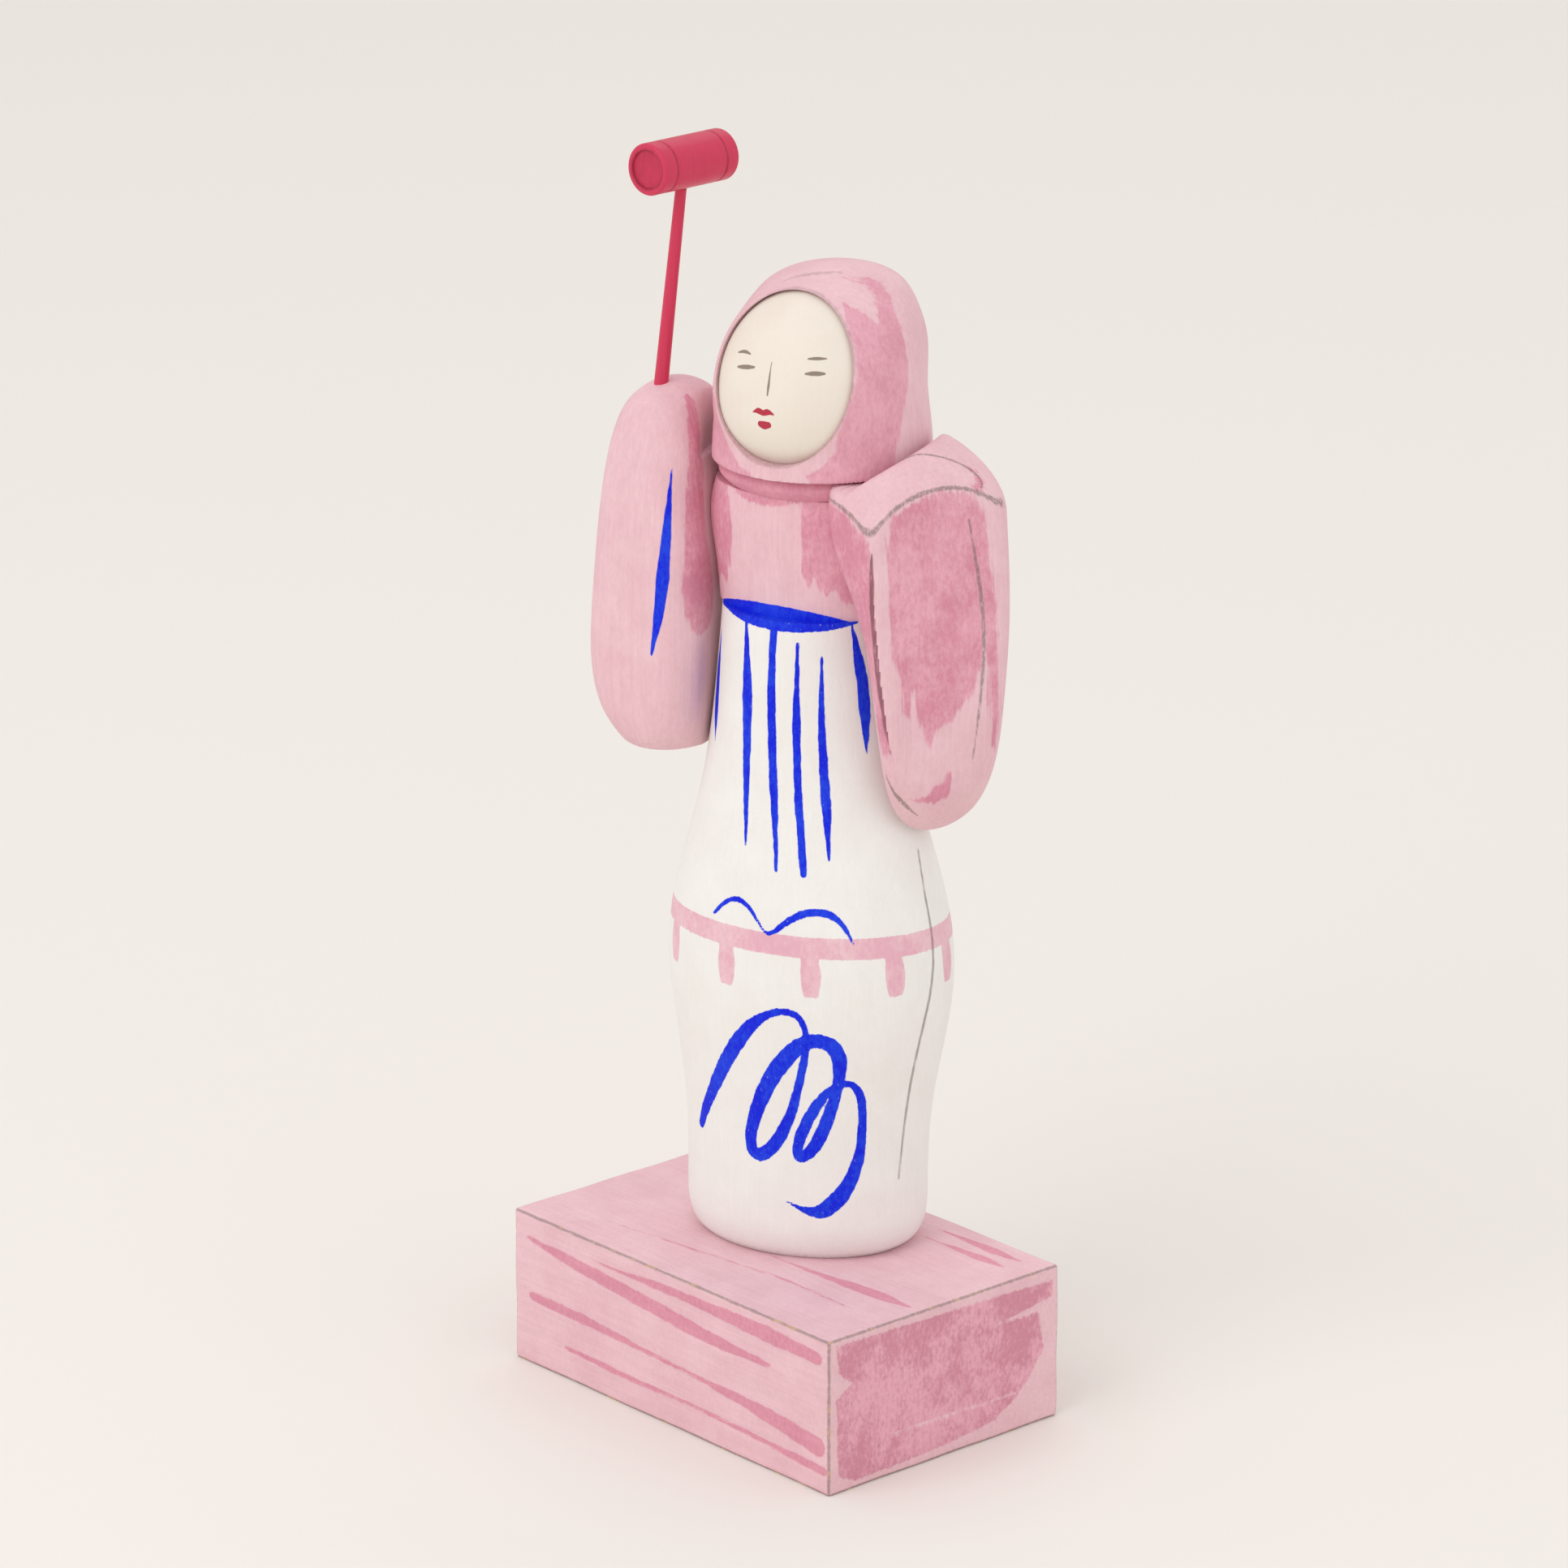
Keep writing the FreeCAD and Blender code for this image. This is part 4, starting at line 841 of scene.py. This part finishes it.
def makeRightSleeve():
    look, rings = rightSleeve, carve(rightSleeveField, rightSleeve)

    def onSleeve(points, count):
        return layOn(rightSleeveField, look["heart"], alongPath(points, count), look["reach"])
    material = paintMaterial("raisedSleevePaint", {"rose": roseWash, "blue": blueBrush})
    skinPiece("rightSleeve", rings, "standing_doll", "right_sleeve", material,
              {"blue": leastStroke(rings, look["blue"], onSleeve), "rose": leastStroke(rings, look["rose"], onSleeve)},
              sharpest=50)


def makeLeftSleeve():
    look, rings = leftSleeve, carve(leftSleeveField, leftSleeve)
    x, y, z = np.moveaxis(rings, -1, 0)
    facet = leftSleeveDome(rings) - leftSleeveWalls(rings)

    def onSleeve(points, count):
        return layOn(leftSleeveField, look["heart"], alongPath(points, count), look["reach"])
    # place on the two outer walls: distance from the ridge, positive on the outside wall and negative on the front
    fold, ridge, elbow, back = leftSleeveCorners(z)
    outside, front = (((rings[..., :2] - ridge) * (corner - ridge)).sum(-1) / np.linalg.norm(corner - ridge, axis=-1)
                      for corner in (elbow, fold))
    across = np.where(outside > front, outside, -front)
    seen = np.where(across > 0, wallField(rings, ridge, elbow) > wallField(rings, elbow, back),
                    (y < look["frontBack"]) & (x > chestLeft - look["frontIn"]))
    across = np.where(seen, across, 99.0)
    # rose: painted shade on the walls, kept off the dome but for a stroke at its edge, so the dome stays pale as a
    # painted highlight
    rose = leastStroke(rings, look["hemRose"], onSleeve)
    for patch in look["patches"]:
        rose = np.minimum(rose, patchField(across, z, patch))
    rose = np.minimum(np.maximum(rose, facet + look["roseBelowFold"]), leastStroke(rings, look["domeRose"], onSleeve))
    # an ink line where the dome meets the walls
    line = np.maximum(np.abs(facet) - look["foldHalf"], look["foldFoot"] - z)
    line = np.minimum(np.where(y < look["foldBack"], line, markLimit), leastStroke(rings, look["lines"], onSleeve))
    material = paintMaterial("hangingSleevePaint", {
        "rose": dict(roseWash, ragged=0.9, soft=0.4, streak=0.1, pools=0.9),
        "dry": dict(plainLayer, paint="plumInk", ragged=0.3, soft=0.25, streak=0.1, cover=0.78, strength=0.8),
        "line": dict(inkLineAndShade, ragged=0.15, soft=0.16, cover=0.75, strength=0.7)})
    skinPiece("leftSleeve", rings, "standing_doll", "left_sleeve", material,
              {"rose": rose, "line": line, "dry": patchField(across, z, look["dry"])}, sharpest=50)


makeRightSleeve()
makeLeftSleeve()
print("sleeves made")

# latitudes: from, to and count of each run of rings, close together where the features are drawn
# peg: (radius, height) pairs of the turned peg under the head, as deep as the hole that it turns in
# features: generic ones, as (x, height) points, half widths and spots along the stroke
head = {
    "x": 0.8, "y": 1.1, "jaw": 155.5, "radius": 17.0, "drop": 15.0, "rise": 20.0, "columns": 330, "crowding": 0.62,
    "latitudes": [(-50.5, -42, 12), (-42, 58, 230), (58, 89.2, 26)],
    "peg": [(2.5, 131.8), (4.6, 131.8), (4.95, 131.95), (5.0, 132.2), (5.0, 137.0), (5.0, 141.0), (5.0, 143.75),
            (5.3, 143.82)],
    "features": {
        "ink": [([(0.7, 164.8), (0.78, 161.6), (0.72, 159.2)], (0.06, 0.16, 0.24, 0.14), 16),
                ([(-6.5, 162.8), (-4.6, 163.15), (-2.7, 163.45)], (0.2, 0.4, 0.42, 0.22), 16),
                ([(7.0, 163.3), (8.4, 163.35), (9.8, 163.3)], (0.2, 0.4, 0.42, 0.22), 16),
                ([(-7.1, 165.0), (-5.6, 165.45), (-4.1, 165.35)], (0.16, 0.3, 0.3, 0.14), 16),
                ([(6.9, 165.7), (8.2, 165.75), (9.6, 165.7)], (0.16, 0.3, 0.3, 0.14), 16)],
        "lips": [([(-2.0, 155.95), (-0.9, 156.3), (0.0, 156.05), (0.9, 156.3), (2.0, 156.0)],
                  (0.15, 0.56, 0.5, 0.56, 0.15), 16),
                 ([(-0.5, 153.95), (0.2, 153.85), (1.0, 154.0)], (0.6, 0.78, 0.6), 16)],
        "blush": [([(side, 156.5), (side, 156.5)], (1.5, 1.5), 2) for side in (-7.0, 9.0)]}}


def headField(spots, grow=0.0):
    # two half eggs that meet at the jaw line
    x, y, z = np.moveaxis(spots, -1, 0)
    width = head["radius"] + grow
    tall = np.where(z > head["jaw"], head["rise"], head["drop"]) + grow
    return (np.sqrt(((x - head["x"]) ** 2 + (y - head["y"]) ** 2) / width ** 2
                    + ((z - head["jaw"]) / tall) ** 2) - 1) * width


def onFace(points, count):
    # (x, height) pairs laid on the front of the head
    x, z = alongPath(points, count).T
    tall = np.where(z > head["jaw"], head["rise"], head["drop"])
    share = (z - head["jaw"]) / tall
    depth = np.sqrt(head["radius"] ** 2 * (1 - share ** 2) - (x - head["x"]) ** 2)
    return np.stack([x, head["y"] - depth, z], -1)


def makeHead():
    # rings of the egg above the rim, and the peg's rings below them
    latitude = np.radians(np.unique(np.concatenate([np.linspace(*run) for run in head["latitudes"]])))[:, None]
    angles = frontAngles(head["columns"], head["crowding"])
    tall = np.where(latitude > 0, head["rise"], head["drop"])
    egg = np.stack(np.broadcast_arrays(
        head["x"] + head["radius"] * np.cos(latitude) * np.sin(angles),
        head["y"] - head["radius"] * np.cos(latitude) * np.cos(angles),
        head["jaw"] + tall * np.sin(latitude)), -1)
    egg = egg[egg[:, 0, 2] > levels["rim"]]
    peg = turned(head["peg"], angles) + [neckLine["x"], neckLine["y"], 0.0]
    marks = {mark: np.concatenate([np.full(peg.shape[:2], markLimit), leastStroke(egg, strokes, onFace)])
             for mark, strokes in head["features"].items()}
    material = paintMaterial("facePaint", {
        "blush": dict(plainLayer, paint="palePink", soft=2.6, ragged=0.05, strength=0.12, body=0.0),
        "ink": dict(plainLayer, paint="softInk", soft=0.08, ragged=0.03, body=0.15, cover=1.05),
        "lips": dict(plainLayer, paint="lips", soft=0.07, ragged=0.04, body=0.3, cover=1.1)},
        thin="cream", full="warmCream", pools=0.5, speckle=0.2, lines=0.12, marks=0.15, grain=0.012, bump=0.2,
        rough=0.5, specular=0.3)
    skinPiece("dollHead", np.concatenate([peg, egg]), "turning_head", "head", material, marks)


# rings: height above the rim, radius, and how far back; opening: an egg's middle (x, height) and half sizes
# patches: painted shade down the hood's left side and under the chin, as corners (arc round from the front, height)
hood = {
    "rings": [(0, 19.5, 1), (5.2, 19.2, 1), (13.2, 18.4, 1), (21.2, 17.5, 2.7), (26.2, 15.1, 4.6), (30.3, 11.8, 6.0),
              (32.6, 6.2, 6.8), (33.2, 2.0, 7.2)],
    "opening": (0.8, 160.75), "halfWidth": 13.2, "halfHeight": 14.55, "wall": 0.6, "headGap": 0.05, "joint": 1.2,
    "heartY": 2.0, "reach": 42.0, "columns": 300, "outerRings": 190, "innerRings": 60, "spread": 1.15,
    "backStop": 0.012, "lipSwell": 0.22, "floorRadius": 10.4, "floorLift": 0.3,
    "arcRadius": 18.0, "bareRim": 0.3, "lineOut": 0.1, "lineHalf": 0.12,
    # streak: a painted shade streak over the crown
    "streak": [([(-5.5, 0.0, 176.5), (-1.0, 3.5, 178), (4, 6.5, 178.5)], (0.2, 0.9, 0.3), 14)],
    "patches": [
        [(20.4, 174), (17.5, 170.5), (15, 165), (13.6, 158), (13.0, 152), (12.8, 149.4), (11.6, 147.6), (9.6, 146.2),
         (7.4, 145.2), (9, 143), (24.5, 143), (24.6, 147), (26.4, 152.1), (28.9, 158.5), (30.1, 165.2), (33.1, 171.3),
         (36.4, 174.2), (41, 176.2), (36, 175.6), (31.5, 173.4), (28.9, 171.6), (26.9, 169.7), (25.6, 171.4),
         (23.1, 172.8)],
        [(-21.5, 156.4), (-15.2, 156), (-14, 152), (-11.5, 148.4), (-7.5, 145.4), (-4.5, 144.6), (-4, 143),
         (-25, 143), (-21.8, 145.2), (-24.5, 147.6), (-21, 149.6), (-23.4, 152.5), (-20.4, 154)]]}
# the hood's rings made into a close table, spaced along their profile so that the crown closes roundly
hoodRings = np.asarray(hood["rings"], float)
hoodRun = np.concatenate([[0], np.cumsum(np.linalg.norm(np.diff(hoodRings, axis=0), axis=1))])
hoodClose = smoothThrough(hoodRun, hoodRings, np.linspace(0, hoodRun[-1], 400))
hoodSlope = np.hypot(1, np.gradient(hoodClose[:, 1]) / np.gradient(hoodClose[:, 0]))


def hoodOutside(spots):
    # round rings that lean back, joined softly with the head's egg one wall thickness out; near the crown the
    # rings close quickly, so the distance is scaled by their slope
    x, y, z = np.moveaxis(spots, -1, 0)
    height = z - levels["rim"]
    radius, back, slope = (np.interp(height, hoodClose[:, 0], column) for column in
                           (hoodClose[:, 1], hoodClose[:, 2], hoodSlope))
    shell = (np.hypot(x - neckLine["x"], y - neckLine["y"] - back) - radius) / slope
    shell = np.maximum(shell, height - hoodClose[-1, 0])
    return roundLeast(shell, headField(spots, hood["wall"]), hood["joint"])


def hoodField(spots):
    # under the head the floor is lifted into the egg, clear of the head's own flat
    inHead = np.hypot(spots[..., 0] - head["x"], spots[..., 1] - head["y"]) < hood["floorRadius"]
    return np.maximum(hoodOutside(spots), levels["rim"] + np.where(inHead, hood["floorLift"], 0.0) - spots[..., 2])


def hollowField(spots):
    # the hollow for the head, a small gap out from its egg and down to the rim's wall
    return np.maximum(headField(spots, hood["headGap"]), levels["rim"] + hood["wall"] - spots[..., 2])


def firstInside(field, starts, directions):
    # how far each direction runs before the field first falls through zero
    return outwards(lambda spots: -field(spots), starts, directions, 48.0, 96)


def makeHood():
    columns, heart = hood["columns"], np.array([hood["opening"][0], hood["heartY"], hood["opening"][1]])
    angles = np.linspace(0, 2 * math.pi, columns, endpoint=False)
    hem = np.stack([heart[0] + hood["halfWidth"] * np.cos(angles), np.full(columns, -30.0),
                    heart[2] + hood["halfHeight"] * np.sin(angles)], -1)
    backwards = np.broadcast_to([0.0, 1.0, 0.0], hem.shape)
    # straight back from in front of the opening's edge to where the form begins: outside and hollow
    lipOuter, lipInner = (hem + backwards * firstInside(field, hem, backwards)[:, None]
                          for field in (hoodField, hollowField))

    def sweep(edge, field, count):
        # from the opening's edge round to the back: directions turned evenly away from the front
        offset = edge - heart
        size = np.linalg.norm(offset, axis=-1)
        startAngle = np.arccos(np.clip(-offset[:, 1] / size, -1, 1))
        around = np.arctan2(offset[:, 2], offset[:, 0])
        share = np.linspace(0, 1, count)[1:-1, None] ** hood["spread"]
        away = startAngle[None, :] + (math.pi - hood["backStop"] - startAngle[None, :]) * share
        directions = np.stack([np.sin(away) * np.cos(around), -np.cos(away) * np.ones_like(around),
                               np.sin(away) * np.sin(around)], -1)
        return heart + directions * outwards(field, heart, directions, hood["reach"])[..., None]
    outer, inner = sweep(lipOuter, hoodField, hood["outerRings"]), sweep(lipInner, hollowField, hood["innerRings"])
    # rolled lip: a half round between the two edges that swells a little forwards
    roll = np.linspace(0, math.pi, 9)[1:-1, None, None]
    middle, half = (lipOuter + lipInner) / 2, (lipOuter - lipInner) / 2
    lip = middle - half * np.cos(roll) - np.array([0.0, hood["lipSwell"], 0.0]) * np.sin(roll)
    rings = np.concatenate([inner[::-1], [lipInner], lip, [lipOuter], outer])
    x, y, z = np.moveaxis(rings, -1, 0)
    # place on the hood: arc round the neck line from the front, and height
    arc = np.arctan2(x - head["x"], head["y"] - y) * hood["arcRadius"]
    # rose: painted shade on the hood's left side and under the chin
    rose = np.minimum(*(patchField(arc, z, patch) for patch in hood["patches"]))
    # the opening's edge stays bare, with a thin ink line beside it
    opening = np.hypot((x - heart[0]) / hood["halfWidth"], (z - heart[2]) / hood["halfHeight"])
    fromHem = (opening - 1) * hood["halfWidth"]
    rose = np.maximum(rose, hood["bareRim"] - np.where(y < heart[1], fromHem, markLimit))
    line = np.where(y < heart[1], np.abs(fromHem - hood["lineOut"]) - hood["lineHalf"], markLimit)
    streak = leastStroke(rings, hood["streak"], lambda points, count: layOn(hoodField, heart, alongPath(points, count),
                                                                            hood["reach"]))
    material = paintMaterial("hoodPaint", {
        "rose": dict(roseWash, paint="hoodRose", ragged=0.45, streak=0.2, speckle=1.0, pools=0.9),
        "streak": dict(inkLineAndShade, ragged=0.6, soft=0.4, cover=0.8, strength=0.3),
        "line": dict(inkLineAndShade, ragged=0.1, soft=0.1, cover=0.8, strength=0.3)})
    skinPiece("dollHood", rings, "turning_head", "hood", material,
              {"rose": rose, "streak": streak, "line": line}, sharpest=50)


makeHead()
makeHood()
print("head and hood made")

# foot and tip: (radius, height) pairs of the handle's foot, from its end, and of its peg, from its shoulder
# end: (radius, depth under the end) pairs of the mallet's end, with its shallow recess
mallet = {"gripX": chestRight - 8.9, "gripY": -4.0, "gripZ": 152.0, "lean": 6.7, "turn": 13.2, "socket": 12.0,
          "length": 39.0, "gripRadius": 1.3, "neckRadius": 1.0, "socketShadowHeight": 1.2,
          "foot": [(0.5, 0), (1.1, 0), (1.27, 0.08), (1.3, 0.25), (1.3, 6.0), (1.3, 11.4)],
          "tip": [(0.97, 0), (0.82, 0), (0.8, 0.03), (0.8, 5.4), (0.72, 5.5), (0.3, 5.5)],
          "headRadius": 4.6, "headLength": 19.0, "edgeRound": 0.5, "gap": 0.2, "grooveIn": 3.1, "grooveDepth": 0.16,
          "grooveHalf": 0.22, "end": [(0.4, 0.4), (1.6, 0.4), (3.0, 0.4), (3.32, 0.4), (3.38, 0.34), (3.42, 0.05),
                                      (3.5, 0), (3.7, 0)],
          "ringRadius": 3.45, "ringHalf": 0.25, "ringIn": 0.45, "darkHalf": 0.2, "faceRadius": 3.3, "faceIn": 0.6}
lacquer = {"thin": "crimson", "full": "crimson", "rough": 0.42, "coat": 0.15, "bump": 0.35}


def leanOut(spots):
    # from an upright handle's own frame to the doll's: leant to the left about Y, foot at the grip
    lean = math.radians(mallet["lean"])
    x, y, z = np.moveaxis(spots, -1, 0)
    return np.stack([x * math.cos(lean) + z * math.sin(lean) + mallet["gripX"], y + mallet["gripY"],
                     z * math.cos(lean) - x * math.sin(lean) + mallet["gripZ"]], -1)


def makeHandle():
    length, socket = mallet["length"], mallet["socket"]
    shank = np.linspace(0, length, 120)
    radius = mallet["gripRadius"] + (mallet["neckRadius"] - mallet["gripRadius"]) * shank / length
    profile = ([(r, h - socket) for r, h in mallet["foot"]] + list(zip(radius, shank))
               + [(r, h + length) for r, h in mallet["tip"]])
    rings = turned(profile, np.linspace(0, 2 * math.pi, 40, endpoint=False))
    # foot: a painted shadow, darker wine on the handle just above where it goes into the sleeve's socket
    material = paintMaterial("handleLacquer", {
        "foot": dict(plainLayer, paint="wine", ragged=0.3, soft=0.6, strength=0.7)}, **lacquer, pools=0.5, speckle=0.25)
    skinPiece("malletHandle", leanOut(rings), "handle", "mallet_handle", material,
              {"foot": rings[..., 2] - mallet["socketShadowHeight"]})


def makeMalletHead():
    half, radius, edge = mallet["headLength"] / 2, mallet["headRadius"], mallet["edgeRound"]
    barrel = np.linspace(-half + edge, half - edge, 130)
    grooveAt = half - mallet["grooveIn"]
    groove = mallet["grooveDepth"] * np.exp(-((np.abs(barrel) - grooveAt) / mallet["grooveHalf"]) ** 2)
    end = [(r, depth - half) for r, depth in mallet["end"]]
    end += [(radius - edge + edge * math.sin(a), -half + edge - edge * math.cos(a))
            for a in np.linspace(0, math.pi / 2, 7)[:-1]]
    profile = end + list(zip(radius - groove, barrel)) + [(r, -h) for r, h in end[::-1]]
    rings = turned(profile, np.linspace(0, 2 * math.pi, 110, endpoint=False))
    # lay the barrel across the handle and turn it
    turn = math.radians(-mallet["turn"])
    x, y, z = np.moveaxis(rings, -1, 0)
    laid = np.stack([x * math.cos(turn) - z * math.sin(turn), x * math.sin(turn) + z * math.cos(turn),
                     mallet["length"] + mallet["gap"] + radius - y], -1)
    fromAxis, alongBarrel = np.hypot(x, y), np.abs(z)
    ring = np.where(alongBarrel > half - mallet["ringIn"],
                    np.abs(fromAxis - mallet["ringRadius"]) - mallet["ringHalf"], markLimit)
    dark = np.minimum(ring, np.abs(alongBarrel - grooveAt) - mallet["darkHalf"])
    face = np.where(alongBarrel > half - mallet["faceIn"], fromAxis - mallet["faceRadius"], markLimit)
    material = paintMaterial("malletLacquer", {
        "end": dict(plainLayer, paint="wine", thin="crimson", ragged=0.2, soft=0.2, strength=0.6),
        "dark": dict(plainLayer, paint="wine", ragged=0.2, soft=0.2, strength=0.8)}, **lacquer, speckle=0.35)
    skinPiece("malletHead", leanOut(laid), "mallet", "mallet_head", material,
              {"end": face, "dark": dark})


makeHandle()
makeMalletHead()
print("mallet made")

# the hidden dowels keep their own meshes, in bare wood
woodMaterial = paintMaterial("bareWood", {}, thin="wood", full="woodLine", pools=0.9, speckle=0.9, lines=1.6,
                             marks=0.2, rough=0.7)
for node in ("foot_dowels", "waist_dowel", "right_sleeve_dowels", "left_sleeve_dowels"):
    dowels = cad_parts[node].data.materials
    dowels.clear()
    dowels.append(woodMaterial)
print("dowels finished")

# lamps: degrees from the camera, elevation, distance, size and energy
studio = {"floorSize": 3.0, "bend": 0.5, "floorRough": 0.9, "floorSpecular": 0.1, "sky": 0.86,
          "lamps": {"keyLight": (-48, 42, 1.5, 1.1, 5.9), "fillLight": (55, 25, 1.8, 1.4, 2.0),
                    "backLight": (170, 50, 1.8, 1.2, 2.2)}}
cameraPlace = {"azimuth": 48.42, "elevation": 18.17, "distance": 1.3, "aim": (0.0, 0.0, 0.115), "lens": 168.8,
               "sensor": 36.0}


def makeFloor():
    # floor that curves up into a backdrop behind: straight, quarter round, straight
    size, bend = studio["floorSize"], studio["bend"]
    turn = np.linspace(0, math.pi / 2, 24)
    run = np.concatenate([[-size], size + bend * np.sin(turn), [size + bend]])[:, None]
    rise = np.concatenate([[0], bend * (1 - np.cos(turn)), [size]])[:, None]
    across = np.linspace(-size, size, 3)[None, :]
    azimuth = math.radians(cameraPlace["azimuth"])
    spots = np.stack(np.broadcast_arrays(across * math.cos(azimuth) - run * math.sin(azimuth),
                                         across * math.sin(azimuth) + run * math.cos(azimuth), rise), -1)
    index = np.arange(spots[..., 0].size).reshape(spots.shape[:2])
    material = bpy.data.materials.new("paleFloor")
    material.use_nodes = True
    inputs = material.node_tree.nodes["Principled BSDF"].inputs
    inputs["Base Color"].default_value = pigments["paper"]
    inputs["Roughness"].default_value = studio["floorRough"]
    inputs["Specular IOR Level"].default_value = studio["floorSpecular"]
    newObject("floor", spots.reshape(-1, 3), gridQuads(index).tolist(), material)


def aimed(name, data, azimuth, elevation, distance):
    # a lamp or camera at a distance from the doll's middle, looking at it
    turn, lift = math.radians(azimuth), math.radians(elevation)
    away = Vector((math.sin(turn) * math.cos(lift), -math.cos(turn) * math.cos(lift), math.sin(lift)))
    thing = bpy.data.objects.new(name, data)
    thing.location = Vector(cameraPlace["aim"]) + away * distance
    thing.rotation_euler = away.to_track_quat("Z", "Y").to_euler()
    bpy.context.scene.collection.objects.link(thing)
    return thing


def makeLight():
    # soft square lamps, a white sky that lights the doll, and the paper's colour where the camera sees past it
    for name, (aside, elevation, distance, size, energy) in studio["lamps"].items():
        lamp = bpy.data.lights.new(name, "AREA")
        lamp.size, lamp.energy = size, energy
        aimed(name, lamp, cameraPlace["azimuth"] + aside, elevation, distance)
    world = bpy.data.worlds.new("studio")
    bpy.context.scene.world = world
    world.use_nodes = True
    tree = world.node_tree
    tree.nodes.clear()
    sky = addNode(tree, "ShaderNodeBackground", {"Color": (1, 1, 1, 1), "Strength": studio["sky"]})
    seen = addNode(tree, "ShaderNodeBackground", {"Color": pigments["paper"], "Strength": 1.0})
    path = addNode(tree, "ShaderNodeLightPath")
    mix = addNode(tree, "ShaderNodeMixShader", {0: path.outputs["Is Camera Ray"], 1: sky.outputs[0],
                                                2: seen.outputs[0]})
    addNode(tree, "ShaderNodeOutputWorld", {"Surface": mix.outputs[0]})
    bpy.context.scene.view_settings.view_transform = "Standard"


def makeCamera():
    camera = bpy.data.cameras.new("camera")
    camera.lens, camera.sensor_width = cameraPlace["lens"], cameraPlace["sensor"]
    bpy.context.scene.camera = aimed("camera", camera, cameraPlace["azimuth"], cameraPlace["elevation"],
                                     cameraPlace["distance"])


makeFloor()
makeLight()
makeCamera()
print("studio ready")
